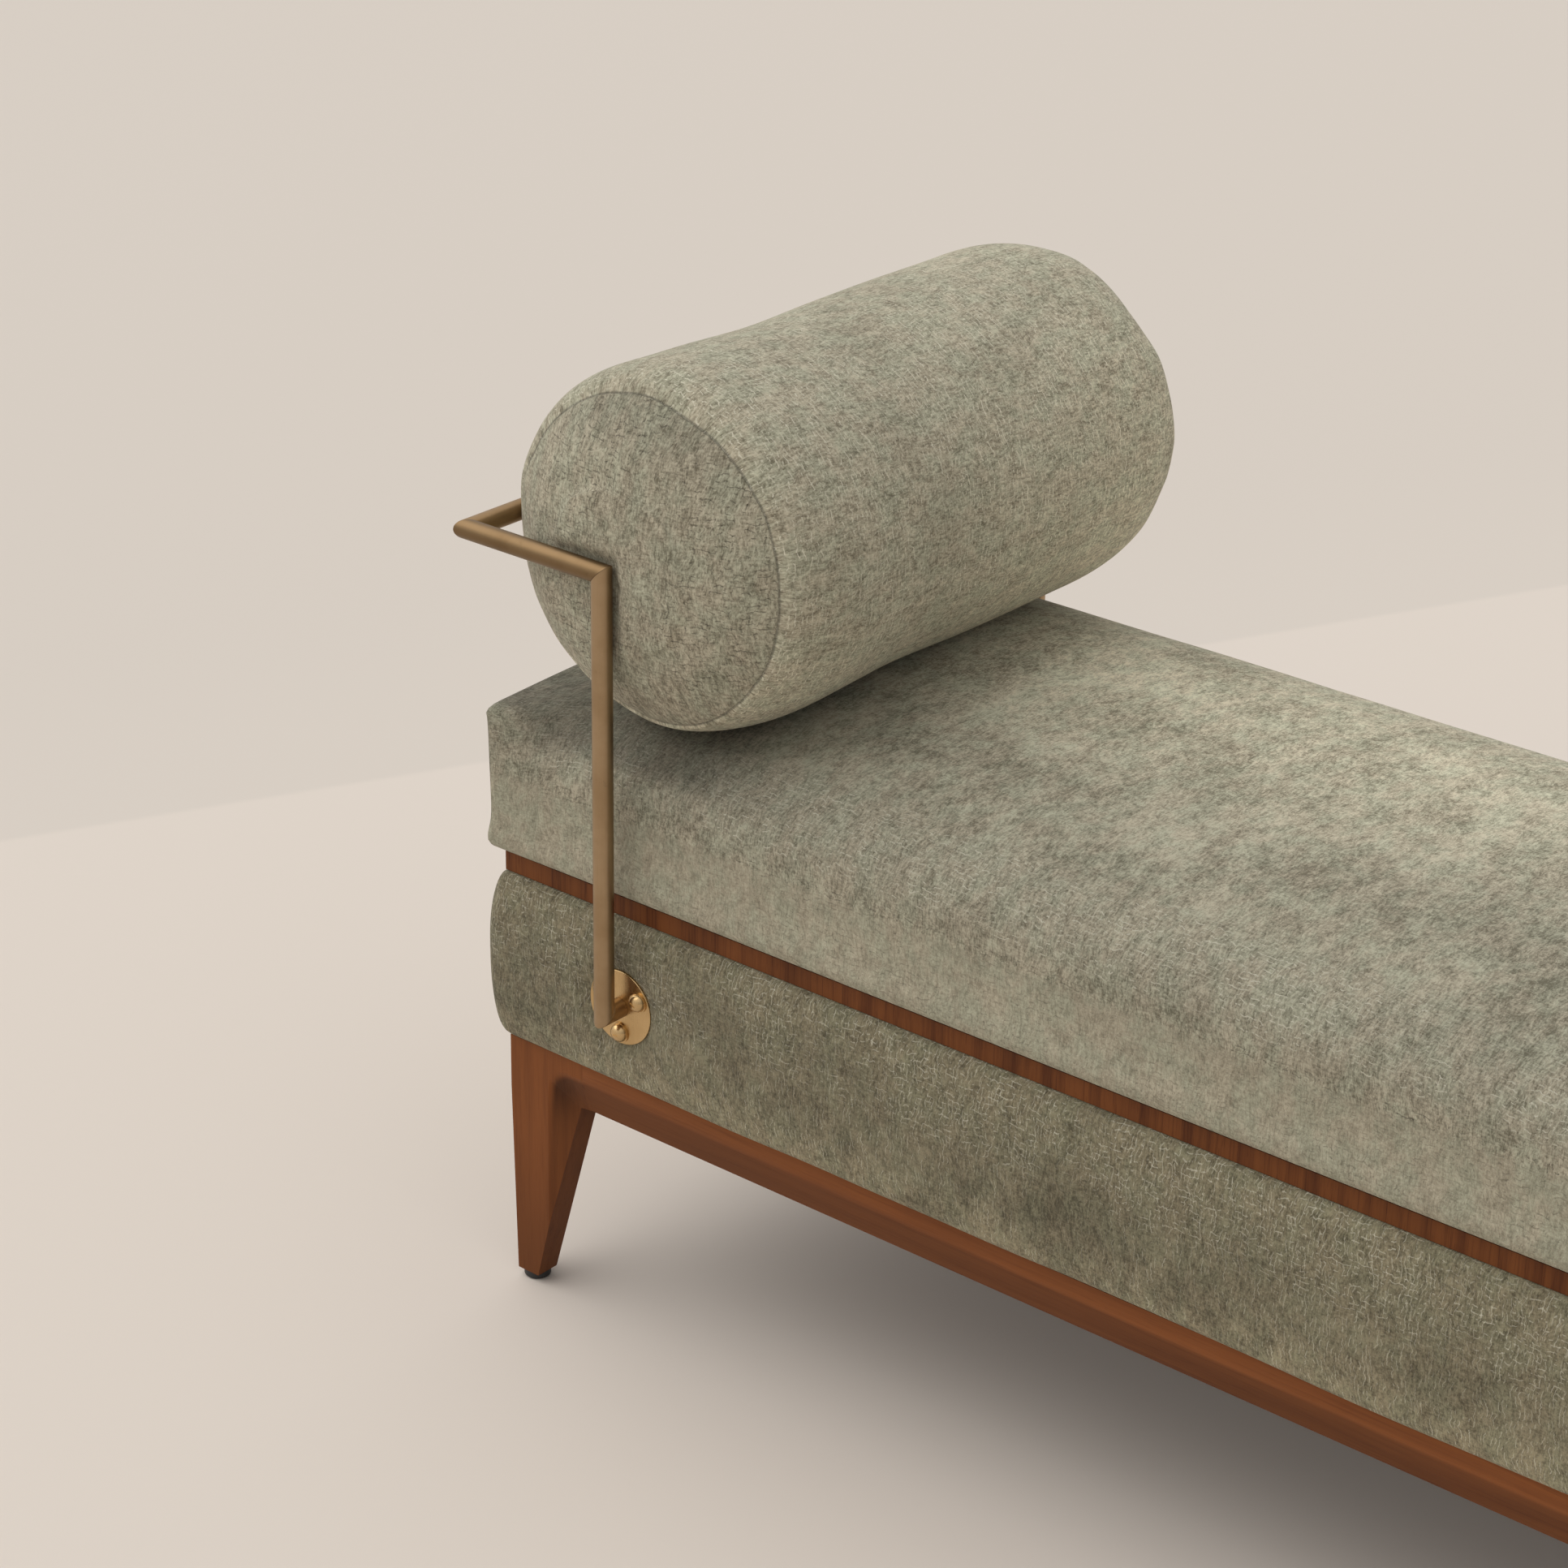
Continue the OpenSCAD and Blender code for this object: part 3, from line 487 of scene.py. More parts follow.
def chenille(name, settings, tint=None, hair=0.0, shine=0.85):
    """Short-pile cloth: short streaks along the pile, and thin crossing threads.
    The threads stand light where the attribute lift is above 0, and sink dark where it is below. The pile's
    tone
    attribute is painted light and shade: the cloth made lighter or darker by where it faces and what shades
    it.
    seam is 1 in a seam. hair adds more threads along the bed, and shine is how far a thread that stands light
    hides the pile."""
    p = Paint(name)
    uv = p.node("ShaderNodeUVMap", out="UV", uv_map="weave")
    u, v = p.part(uv, 0), p.part(uv, 1)
    lift = p.node("ShaderNodeAttribute", attribute_name="lift", out="Fac")
    painted_shading = p.node("ShaderNodeAttribute", attribute_name="painted_shading", out="Fac")
    seam = p.node("ShaderNodeAttribute", attribute_name="seam", out="Fac")
    sway = p.noise(uv, 26.0, detail=3)
    us, vs = u + sway * 0.009, v + sway * 0.006
    dash = p.step(p.noise(p.join(us * 470.0, vs * 165.0), detail=4, rough=0.7), 0.33, 0.67)
    fine = p.step(p.noise(p.join(us * 1100.0, vs * 480.0), detail=2, rough=0.6), 0.32, 0.68)
    slub = p.noise(p.join(us * 150.0, vs * 78.0), detail=4, rough=0.65)
    cross = p.step(p.noise(p.join(us * 190.0, vs * 620.0), detail=3, rough=0.6), 0.34, 0.66)
    patch = p.noise(p.join(u * 13.0, v * 10.0), detail=4, rough=0.55, bend=0.4)
    cloud = p.noise(p.join(u * 75.0, v * 45.0), detail=4, rough=0.6)
    green = p.noise(p.join(u * 42.0 + 9.0, v * 30.0), detail=5, rough=0.65)

    def threads(run, rise, pitch, seed, wobble, breaks, shown):
        """Thin wandering lines that follow run, one in each pitch of rise, broken into short lengths."""
        wander = p.noise(p.join(run * 90.0 + seed, rise * 45.0), detail=3, rough=0.6)
        row = rise / pitch + (wander - 0.5) * wobble
        apart = p.math("ABSOLUTE", p.math("FRACT", row) - 0.5)
        thin = 1 - p.step(apart, 0.04, 0.13)
        broken = p.noise(p.join(run * breaks + seed * 3.1, p.math("FLOOR", row) * 7.3), detail=2, rough=0.7)
        return thin * p.step(broken, shown, shown + 0.07)

    weft = threads(us, vs, WEFT_PITCH, 3.7, 1.7, 150.0, 0.50)
    warp = threads(vs, us, WARP_PITCH, 11.3, 1.5, 130.0, 0.52)
    some = p.step(patch, 0.30, 0.56) * 0.75 + 0.25
    light = weft * p.step(lift, 0.05, 0.6) + warp * p.step(lift, 0.3, 1.0) * 0.55
    calm = p.step(0 - lift, 0.62, 0.9)
    sunk = (weft + warp * 0.8) * p.step(0 - lift, 0.1, 0.5) * (1 - calm * 0.4)
    if hair:
        light = light * 0.8 + threads(vs, us, HAIR_PITCH, 23.9, 2.2, 75.0, 0.50) * hair
    loose = 1 - p.step(p.math("ABSOLUTE", lift), 0.1, 0.5)
    short = (dash - 0.5) * 0.50 + (fine - 0.5) * 0.30 + (cross - 0.5) * 0.26
    blotch = (slub - 0.5) * 1.0 + (cloud - 0.5) * (loose * 0.25 + 0.65)
    blotch = blotch + (patch - 0.5) * (loose * 0.65 + 0.35)
    value = short * (1 - calm * 0.42) + blotch * (1 - calm * 0.35) + 0.53
    colour = p.blend(value, tuple(settings.dark), tuple(settings.light))
    warm, cool = (1.03, 0.995, 0.965), (0.965, 1.01, 0.975)
    colour = p.tinted(colour, p.blend(p.step(green, 0.36, 0.66), warm, cool))
    # the base's darker copy of the cloth: painted shade
    if tint:
        colour = p.tinted(colour, tint)
    colour = p.blend(light * some * shine, colour, tuple(settings.thread))
    colour = p.blend(sunk * some * 0.62, colour, tuple(c * 0.55 for c in settings.dark))
    # painted light and shade on the pile, and a darker line in the seams
    colour = p.scaled(colour, painted_shading * (1 - p.step(seam, 0.3, 0.8) * 0.5))
    height = dash * 0.4 + fine * 0.25 + slub * 0.3 + cross * 0.2 + light * 0.5 - sunk * 0.6
    return p.surface(
        Base_Color=colour,
        Roughness=0.92,
        Sheen_Weight=0.14,
        Sheen_Roughness=0.45,
        Sheen_Tint=(0.86, 0.83, 0.74),
        Normal=p.bump(height, 0.5, 0.0009),
    )


FINISH = {}


def finishes():
    """The materials, made once."""
    if FINISH:
        return FINISH
    scene = bpy.context.scene
    wood, metal, cloth = scene.daybed_wood, scene.daybed_metal, scene.daybed_cloth
    # the arms are the same brass painted darker: painted shade
    arm_shaded = tuple(c * 0.60 for c in metal.brass)
    FINISH.update(
        along=walnut("walnut_along_bed", 0, wood, frame_shaded=True),
        across=walnut("walnut_across_bed", 1, wood, frame_shaded=True),
        upright=walnut("walnut_upright", 2, wood, frame_shaded=True),
        band=walnut("walnut_cross_cut", 2, wood, figure=2.1),
        ply=ply("birch_ply"),
        # the posts take the same brass painted lighter: painted light
        brass_z=satin_brass("satin_brass_post_lit", tuple(metal.post), 0.33, 2),
        brass_x=satin_brass("satin_brass_arm_shaded", arm_shaded, 0.38, 0),
        brass_y=satin_brass("satin_brass_bar", tuple(metal.brass), 0.36, 1),
        bright=satin_brass("bright_brass", tuple(metal.bright), 0.20, 2),
        nylon=plain("black_nylon_glide", (0.02, 0.02, 0.02), 0.5),
        zinc=plain("zinc_plated_steel", (0.55, 0.56, 0.58), 0.35, 500.0, 1.0),
        lining=plain("black_lining_cloth", (0.022, 0.022, 0.022), 0.9, 1500.0, 0.0, 0.4),
        cloth=chenille("sage_chenille_cloth", cloth),
        # the base takes a darker copy of the cloth: painted shade
        cloth_base=chenille("sage_chenille_base_shaded", cloth, tuple(cloth.shade), 0.8, 0.60),
    )
    return FINISH


# ---- Cloth forms ----


def resample(points, count):
    """Count + 1 points at equal distances along a line of points."""
    points = np.asarray(points, float)
    steps = np.linalg.norm(np.diff(points, axis=0), axis=1)
    run = np.concatenate([[0], np.cumsum(steps)])
    at = np.linspace(0, run[-1], count + 1)
    return np.stack([np.interp(at, run, points[:, i]) for i in range(points.shape[1])], 1)


def arc(centre, radius, start, end, count=12):
    """Points on an arc, from one angle in degrees to another."""
    t = np.radians(np.linspace(start, end, count))
    return np.stack([centre[0] + radius * np.cos(t), centre[1] + radius * np.sin(t)], 1)


def soft_noise(points, scale, seed=0.0):
    """Smooth noise from -1 to 1 at each point."""
    shift = Vector((seed, seed * 1.7, seed * 0.6))
    return np.array([noise.noise(Vector(p) * scale + shift) for p in points])


def fill_loop(loop, across, up):
    """A grid of points inside a closed loop of 2 * (across + up) points, as (up + 1, across + 1, 3)."""
    assert len(loop) == 2 * (across + up)
    low = loop[: across + 1]
    right = loop[across : across + up + 1]
    high = loop[across + up : 2 * across + up + 1][::-1]
    left = np.concatenate([loop[2 * across + up :], loop[:1]])[::-1]
    s = np.linspace(0, 1, across + 1)[None, :, None]
    t = np.linspace(0, 1, up + 1)[:, None, None]
    ruled_u = (1 - t) * low[None] + t * high[None]
    ruled_v = (1 - s) * left[:, None] + s * right[:, None]
    corners = (1 - t) * ((1 - s) * low[0] + s * low[-1]) + t * ((1 - s) * high[0] + s * high[-1])
    return ruled_u + ruled_v - corners


class Shell:
    """Collects points, faces, weave coordinates and values of one cloth form."""

    def __init__(self):
        self.points, self.faces, self.weave = [], [], []
        self.values = {"lift": [], "painted_shading": [], "seam": []}
        self.count = 0

    def add_points(self, points, lift, painted_shading, seam=0.0):
        """Adds points with their values, and gives the number of the first."""
        points = np.asarray(points, float).reshape(-1, 3)
        start = self.count
        self.points.append(points)
        for key, value in (("lift", lift), ("painted_shading", painted_shading), ("seam", seam)):
            self.values[key].append(np.broadcast_to(np.asarray(value, float), len(points)))
        self.count += len(points)
        return start

    def rings(self, rings, around, along, lift, painted_shading, seam=0.0, swap=False, closed=False):
        """Rings of points joined into a tube, or into a closed ring of rings.
        around has one more entry than a ring has points, and along one for each ring, or one more if closed.
        The weave's threads run along the tube, or round it with swap. It gives the numbers of the first
        points of the first and of the last ring."""
        rings = np.asarray(rings)
        rows, n = rings.shape[:2]
        start = self.add_points(rings, lift, painted_shading, seam)
        for i in range(rows if closed else rows - 1):
            a, b = start + i * n, start + (i + 1) % rows * n
            for j in range(n):
                k = (j + 1) % n
                self.faces.append((a + j, a + k, b + k, b + j))
                corners = ((j, i), (j + 1, i), (j + 1, i + 1), (j, i + 1))
                self.weave.append(tuple(
                    (along[q], around[p]) if swap else (around[p], along[q]) for p, q in corners
                ))
        return start, start + (rows - 1) * n

    def lid(self, ring_start, loop, grid, weave, lift, painted_shading, flip):
        """Closes a ring with the inside of a grid; weave gives the (u, v) of a point."""
        rows, cols = grid.shape[0] - 1, grid.shape[1] - 1
        index = np.full((rows + 1, cols + 1), -1)
        edge = [(0, j) for j in range(cols)] + [(i, cols) for i in range(rows)]
        edge += [(rows, cols - j) for j in range(cols)] + [(rows - i, 0) for i in range(rows)]
        for k, (i, j) in enumerate(edge):
            index[i, j] = ring_start + k
        assert len(edge) == len(loop)
        inner = grid[1:-1, 1:-1].reshape(-1, 3)
        start = self.add_points(inner, lift, painted_shading)
        index[1:-1, 1:-1] = start + np.arange(len(inner)).reshape(rows - 1, cols - 1)
        flat = np.concatenate(self.points)
        for i in range(rows):
            for j in range(cols):
                face = (index[i, j], index[i, j + 1], index[i + 1, j + 1], index[i + 1, j])
                face = tuple(int(f) for f in (face[::-1] if flip else face))
                self.faces.append(face)
                self.weave.append(tuple(weave(flat[f]) for f in face))

    def build(self, name):
        """The form as an object with its weave map and its values."""
        mesh = bpy.data.meshes.new(name)
        points = np.concatenate(self.points)
        mesh.from_pydata(points.tolist(), [], self.faces)
        layer = mesh.uv_layers.new(name="weave")
        layer.data.foreach_set("uv", np.array(self.weave, np.float32).reshape(-1))
        for key, parts in self.values.items():
            attribute = mesh.attributes.new(key, "FLOAT", "POINT")
            attribute.data.foreach_set("value", np.concatenate(parts).astype(np.float32))
        mesh.validate()
        mesh.update()
        return linked(name, mesh)


def take_points(obj):
    """The points of an object's mesh as rows."""
    out = np.zeros(len(obj.data.vertices) * 3, np.float32)
    obj.data.vertices.foreach_get("co", out)
    return out.reshape(-1, 3).astype(float)


def put_points(obj, points):
    """Moves the points of an object's mesh."""
    obj.data.vertices.foreach_set("co", points.astype(np.float32).ravel())
    obj.data.update()


def smoothstep(value, low, high):
    """0 below low, 1 above high, and a soft rise between them."""
    t = np.clip((np.asarray(value, float) - low) / (high - low), 0, 1)
    return t * t * (3 - 2 * t)


# ---- Mattress ----

MATTRESS_LOW_R = 14 * MM  # round of the lower edges
MATTRESS_SIDE = 74.5 * MM  # height of the upright sides, over which the top is crowned
MATTRESS_FAT = 3.2  # power of the crown's curve: 2 is an ellipse, more is squarer
MATTRESS_DROP = 12 * MM  # how far the crown falls towards the ends
MATTRESS_END_R = 8 * MM  # round of the edges of the end panels
MATTRESS_END_TALL = 131 * MM  # height of the end panels, which are square


def mattress_crest(x, half, top):
    """Height of the crown's middle along the bed."""
    return top - MATTRESS_DROP * (np.abs(x) / half) ** 12


def mattress_half(width, low, side, top, square):
    """Front half of a cross-section as two lines of (y, z): the upright side, and the top from its corner."""
    foot = arc((-width + MATTRESS_LOW_R, low + MATTRESS_LOW_R), MATTRESS_LOW_R, 225, 180)
    if square:
        r = 9 * MM
        edge = top - 5 * MM
        rise = np.concatenate([foot, arc((-width + r, edge - r), r, 180, 135)])
        y = np.linspace(-width + r, 0, 30)
        crown = np.stack([y, edge + (top - edge) * (1 - (np.abs(y) / (width - r)) ** 2.5)], 1)
        return rise, np.concatenate([arc((-width + r, edge - r), r, 135, 92), crown])
    t = np.radians(np.linspace(180, 90, 120))
    bow = 2 / MATTRESS_FAT
    z = low + side + (top - low - side) * np.abs(np.sin(t)) ** bow
    lobe = np.stack([-width * np.abs(np.cos(t)) ** bow, z], 1)
    half = len(t) // 2
    return np.concatenate([foot, lobe[: half + 1]]), lobe[half:]


def mattress_loop(width, low, side, top, square, across, up):
    """A whole cross-section as a closed (y, z) loop that runs up the front."""
    rise, crown = mattress_half(width, low, side, top, square)
    front = resample(rise, up)
    over = resample(np.concatenate([crown, (crown * [-1, 1])[::-1][1:]]), across)
    back = (front * [-1, 1])[::-1]
    base = arc((-width + MATTRESS_LOW_R, low + MATTRESS_LOW_R), MATTRESS_LOW_R, 270, 225)
    under = resample(np.concatenate([(base * [-1, 1])[::-1], base]), across)
    return np.concatenate([front[:-1], over[:-1], back[:-1], under[:-1]])


def mattress_top(x, y):
    """Height of the mattress top at a place."""
    low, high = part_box("mattress_cover")
    crest = mattress_crest(x, high.x, high.z)
    side = low.z + MATTRESS_SIDE
    inside = np.clip(1 - (np.abs(y) / high.y) ** MATTRESS_FAT, 0, 1)
    return side + (crest - side) * inside ** (1 / MATTRESS_FAT)


def turned_out(loop):
    """Outward directions of a closed (y, z) loop that runs up the front."""
    along = np.roll(loop, -1, 0) - np.roll(loop, 1, 0)
    out = np.stack([-along[:, 1], along[:, 0]], 1)
    return out / np.linalg.norm(out, axis=1)[:, None]


def mattress_stations(half):
    """The places of the cross-sections: each one's x, how far it is drawn in, and its angle round the edge.
    The seam lies at 45 degrees, and the angle is -1 away from the ends."""
    r = MATTRESS_END_R
    stations = []
    for angle in (90, 72, 59, 52, 45, 38, 31, 16, 0):
        a = math.radians(angle)
        stations.append((half - r * (1 - math.sin(a)), r * (1 - math.cos(a)), angle))
    stations += [(half - r - beyond * MM, 0, -1) for beyond in (4, 9, 16, 25, 36)]
    inner = stations[-1][0]
    count = int(2 * inner / (13 * MM))
    middle = [(x, 0, -1) for x in np.linspace(inner, -inner, count + 1)[1:-1]]
    return stations + middle + [(-x, inset, angle) for x, inset, angle in stations[::-1]]


def mattress_painted_shading(x, height, inward, away, beside):
    """Painted light and shade on the pile: darker up the front and over its edge, lighter inwards and further
    back on the top, lighter to the left and darker to the right along the top, and a painted shadow of the
    bolster along the top's edges beside it and to its left. height is over the mattress's foot, inward from
    its nearer side, away from its front, and beside is the right edge of the bolster, under which the pile is
    in the shade."""
    on_top = height > 90 * MM
    painted_shading = 1.04 - 0.23 * smoothstep(height, 45 * MM, 105 * MM) + 0.10 * smoothstep(inward, 20 * MM, 110 * MM)
    painted_shading += 0.40 * smoothstep(away, 100 * MM, 380 * MM) * on_top
    # painted shadow of the bolster along the top's edges, beside it and to its left
    bolster_shadow = np.exp(-np.maximum(x - beside + 95 * MM, 0) / (52 * MM))
    painted_shading -= 0.38 * bolster_shadow * smoothstep(inward, 2 * MM, 18 * MM) * on_top
    # painted light along the top: lighter to the left, darker to the right
    along_bed = 0.13 - 0.24 * smoothstep(x, -360 * MM, 0)
    return painted_shading + along_bed * (1 - bolster_shadow) * smoothstep(away, 60 * MM, 260 * MM) * on_top


def mattress_shell(cloth):
    """The mattress: crowned cross-sections that turn square towards two flat end panels with a seam each."""
    low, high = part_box("mattress_cover")
    half, width, top = high.x, high.y, high.z
    across, up = 36, 12
    n = 2 * (across + up)
    stations = mattress_stations(half)
    square = mattress_loop(width, low.z, MATTRESS_SIDE, low.z + MATTRESS_END_TALL, True, across, up)
    corner = [up, up + across]
    rings = []
    for x, inset, angle in stations:
        from_end = half - abs(x)
        loop = mattress_loop(width, low.z, MATTRESS_SIDE, mattress_crest(x, half, top), False, across, up)
        share = 1 - smoothstep(from_end, 4 * MM, 100 * MM)
        loop = loop * (1 - share) + square * share
        out = turned_out(loop)
        seam = cloth.groove if angle == 45 else 0.0
        side = 1 if x > 0 else -1
        ring = np.zeros((n, 3))
        ring[:, 0] = x
        ring[:, 1:] = loop - out * (inset + seam * 0.7)
        lean = smoothstep(ring[:, 2], low.z + 20 * MM, low.z + 120 * MM) * 2.4 * MM - 1.0 * MM
        ring[:, 0] += side * (lean * math.exp(-from_end / (30 * MM)) - seam * 0.7)
        near = math.exp(-((from_end - MATTRESS_END_R * 0.3) / (9 * MM)) ** 2)
        for c in corner:
            away = np.linalg.norm(loop - loop[c], axis=1)
            ear = np.exp(-((away / (9 * MM)) ** 2)) * near * 2.2 * MM
            ring[:, 1:] += out * ear[:, None]
        gather = soft_noise(ring * [0, 1, 1], 60.0, 3.0 + side) * cloth.pucker
        beside = math.exp(-from_end / (16 * MM)) * (0.0 if 30 < angle < 60 else 1.0)
        ring[:, 1:] += out * (gather * beside)[:, None]
        rings.append(ring)
    rings = np.array(rings)
    flat = rings.reshape(-1, 3)
    soft = soft_noise(flat, 4.5, 1.0) * 1.3 * MM + soft_noise(flat, 14.0, 5.0) * 0.5 * MM
    soft = soft.reshape(rings.shape[:2]) * (rings[:, :, 2] > low.z + 30 * MM)
    lain_low, lain_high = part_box("bolster_cover")
    beside = np.maximum(lain_low.x - rings[:, :, 0], rings[:, :, 0] - lain_high.x)
    lain = smoothstep(-beside, 20 * MM, 60 * MM) * (rings[:, :, 2] > low.z + 90 * MM)
    soft = soft * (1 - lain) - 0.6 * MM * lain
    loop = mattress_loop(width, low.z, MATTRESS_SIDE, top, False, across, up)
    rings[:, :, 1:] += turned_out(loop)[None] * soft[:, :, None]
    steps = np.linalg.norm(np.diff(np.concatenate([loop, loop[:1]]), axis=0), axis=1)
    v = np.concatenate([[0], np.cumsum(steps)])
    height = rings[:, :, 2] - low.z
    inward = width - np.abs(rings[:, :, 1])
    lift = smoothstep(height, 66 * MM, 100 * MM) * 1.85 - 0.90
    lift = lift * (1 - smoothstep(inward, 25 * MM, 80 * MM))
    # painted light and shade on the mattress's pile
    painted_shading = mattress_painted_shading(rings[:, :, 0], height, inward, rings[:, :, 1] + width, lain_high.x)
    shell = Shell()
    seam = np.repeat([angle == 45 for _, _, angle in stations], n)
    along = [-x for x, _, _ in stations]
    first, last = shell.rings(rings, v, along, lift.ravel(), painted_shading.ravel(), seam, swap=True)
    for start, ring, side in ((first, rings[0], 1), (last, rings[-1], -1)):
        grid = fill_loop(ring, up, across)
        middle = (grid[:, :, 1:] - [0, (low.z + top) / 2]) / [width, (top - low.z) / 2]
        bulge = np.clip(1 - np.abs(middle[:, :, 0]) ** 3, 0, 1) * np.clip(1 - middle[:, :, 1] ** 2, 0, 1)
        grid[:, :, 0] += side * bulge * 2.0 * MM
        shell.lid(start, ring, grid, lambda p: (p[1], p[2]), -0.6, 1.0, side < 0)
    return shell.build("mattress_cushion")


# ---- Bolster ----

BOLSTER_R = 145 * MM
BOLSTER_WAIST_IN = 4.6 * MM  # how far the waist is drawn in
BOLSTER_BACK_IN = 2 * MM  # how much slimmer the back is
BOLSTER_CAP_FAT = 3.5  # power of a cap's curve: 2 is an ellipse, more is flatter
# Creases of the front cap beside the brass elbow, as (angle, length, depth, width), in degrees and mm
ELBOW_CREASES = ((-24, 60, 2.6, 2.6), (-52, 44, 1.3, 2.4), (12, 36, 0.9, 2.6), (-82, 70, 0.9, 3.0))

# One end: its side, the place and radius of its seam, how far its seam lies to the left, its crown, how far
# the sleeve narrows before it above and below, the share of that which it rounds off beside the seam, and the
# tucks of its seam as (angle, width, depth), in degrees and millimetres
End = namedtuple("End", "side seam_y seam_r left crown above below shoulder tucks")


def bolster_ends():
    """The front end is drawn in tighter and a little to the left. The back end bulges past the brass rail."""
    half = abs(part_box("bolster_cover")[0].y)
    front = End(
        -1, half - 33 * MM, 128.0 * MM, 5.0 * MM, 33 * MM, 40 * MM, 95 * MM, 0.35,
        ((-108, 26, 4.8), (72, 14, 3.0), (28, 9, -1.6), (170, 12, -2.2), (-40, 14, 1.2)),
    )
    back = End(
        1, half - 14 * MM, 130.5 * MM, 0.0, 40 * MM, 60 * MM, 60 * MM, 0.2,
        ((48, 17, 3.6), (12, 13, -2.6), (30, 6, -1.8), (-24, 9, 2.0), (-48, 10, -1.6), (80, 12, -1.2)),
    )
    return front, back


def tucked(theta, end):
    """How far the seam is drawn in at each angle."""
    out = np.zeros(len(theta))
    for angle, width, depth in end.tucks:
        away = (np.degrees(theta) - angle + 180) % 360 - 180
        out += depth * MM * np.exp(-((away / width) ** 2))
    return out


def bolster_radius(y, theta, ends):
    """The sleeve has a soft waist a little in front of its middle, and is slightly slimmer at the back."""
    end = ends[0] if y < 0 else ends[1]
    radius = BOLSTER_R - BOLSTER_WAIST_IN * math.exp(-(((y + 45 * MM) / (80 * MM)) ** 2))
    radius -= BOLSTER_BACK_IN * float(smoothstep(y, -100 * MM, 150 * MM))
    from_seam = max(end.seam_y - abs(y), 0)
    full = BOLSTER_R - (0 if end.side < 0 else BOLSTER_BACK_IN)
    turn = max(1 - from_seam / end.above, 0) ** 2.5 * (1 - end.shoulder)
    turn += end.shoulder * math.exp(-from_seam / (3 * MM))
    low = max(1 - from_seam / end.below, 0) ** 1.8 * 0.55 + 0.30 * math.exp(-from_seam / (14 * MM))
    under = smoothstep(-np.sin(theta), -0.1, 0.5) if end.side < 0 else np.zeros(len(theta))
    return radius - (full - end.seam_r) * (turn * (1 - under) + low * under)


def end_shift(y, end):
    """How far the section's middle lies to the left at a distance along the bolster."""
    return end.left * float(1 - smoothstep(end.seam_y - abs(y), 0, 75 * MM))


def cap_height(rho, end):
    """How far a cap stands out at a distance from its middle."""
    return end.crown * (1 - np.clip(rho / end.seam_r, 0, 1) ** BOLSTER_CAP_FAT)


def held_above(value, limit, sharp):
    """The value, held above a limit with a soft turn."""
    return limit + sharp * np.logaddexp(0, (value - limit) / sharp)


def press_sleeve(points):
    """Lays the underside on the mattress, and dents the left side along the crossbar."""
    bar_low, bar_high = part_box("rail_crossbar")
    out = points.copy()
    beside = np.maximum(np.abs(out[:, 2] - (bar_low.z + bar_high.z) / 2) - 7 * MM, 0)
    wall = bar_high.x + 0.5 * MM - 7 * MM * (1 - np.exp(-((beside / (17 * MM)) ** 2)))
    out[:, 0] = held_above(out[:, 0], wall, 0.9 * MM)
    out[:, 2] = held_above(out[:, 2], mattress_top(out[:, 0], out[:, 1]) + 0.4 * MM, 1.2 * MM)
    return out


def press_cap(points, centre, end):
    """Holds the crown in where the arm and the post touch it, and lets it stand out past them."""
    arm_low, arm_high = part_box("rail_arm_front")
    post_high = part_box("rail_post_front")[1]
    face = abs(arm_high.y) - end.seam_y - 0.6 * MM
    x, z = points[:, 0], points[:, 2]
    rho = np.hypot(x - centre[0] + end.left, z - centre[1]) / end.seam_r
    proud = 1 + (0.24 if end.side < 0 else 0.05) * (1 - np.clip(rho, 0, 1) ** 2) ** 1.2
    free = (end.side * points[:, 1] - end.seam_y) * proud
    above = z - arm_high.z
    right = x - post_high.x
    clear = np.maximum(np.maximum(above, right), 0)
    both = np.hypot(np.maximum(above, 0), np.maximum(right, 0))
    clear = np.where((above > 0) & (right > 0), both, clear)
    reach, wide = (7 * MM, 5.5 * MM) if end.side < 0 else (26 * MM, 30 * MM)
    limit = face + reach * (1 - np.exp(-((clear / wide) ** 2)))
    held = -held_above(-free, -limit, 0.9 * MM)
    elbow = np.array([post_high.x - 2 * MM, arm_low.z + 2 * MM])
    for angle, length, depth, wide in ELBOW_CREASES:
        way = np.array([math.cos(math.radians(angle)), math.sin(math.radians(angle))])
        off = np.stack([x, z], 1) - elbow
        along = off @ way
        across = off @ np.array([-way[1], way[0]])
        fade = smoothstep(along, -4 * MM, 5 * MM) * (1 - smoothstep(along, length * 0.3 * MM, length * MM))
        wave = np.exp(-((across / (wide * MM)) ** 2)) - 0.6 * np.exp(-(((across - 6 * MM) / (4.5 * MM)) ** 2))
        held = held - fade * wave * depth * MM
    out = points.copy()
    out[:, 1] = end.side * (end.seam_y + np.minimum(held, face + np.where(clear > 0, 1.0, 0.0)))
    return out


def bolster_painted_shading(points, facing, under, on_cap, centre_z):
    """Painted light and shade on the pile: the sleeve lighter where it faces right, towards the back and on
    its underside, and the caps darker towards their tops. facing is how far the sleeve looks right, and under
    how far it looks down.
    """
    sleeve = 1.09 + 0.08 * facing + (0.10 + 0.22 * facing) * smoothstep(points[:, 1], -60 * MM, 240 * MM)
    cap = 1.02 - 0.20 * smoothstep(points[:, 2] - centre_z, 60 * MM, 125 * MM)
    return np.where(on_cap, cap, sleeve + 0.19 * under)


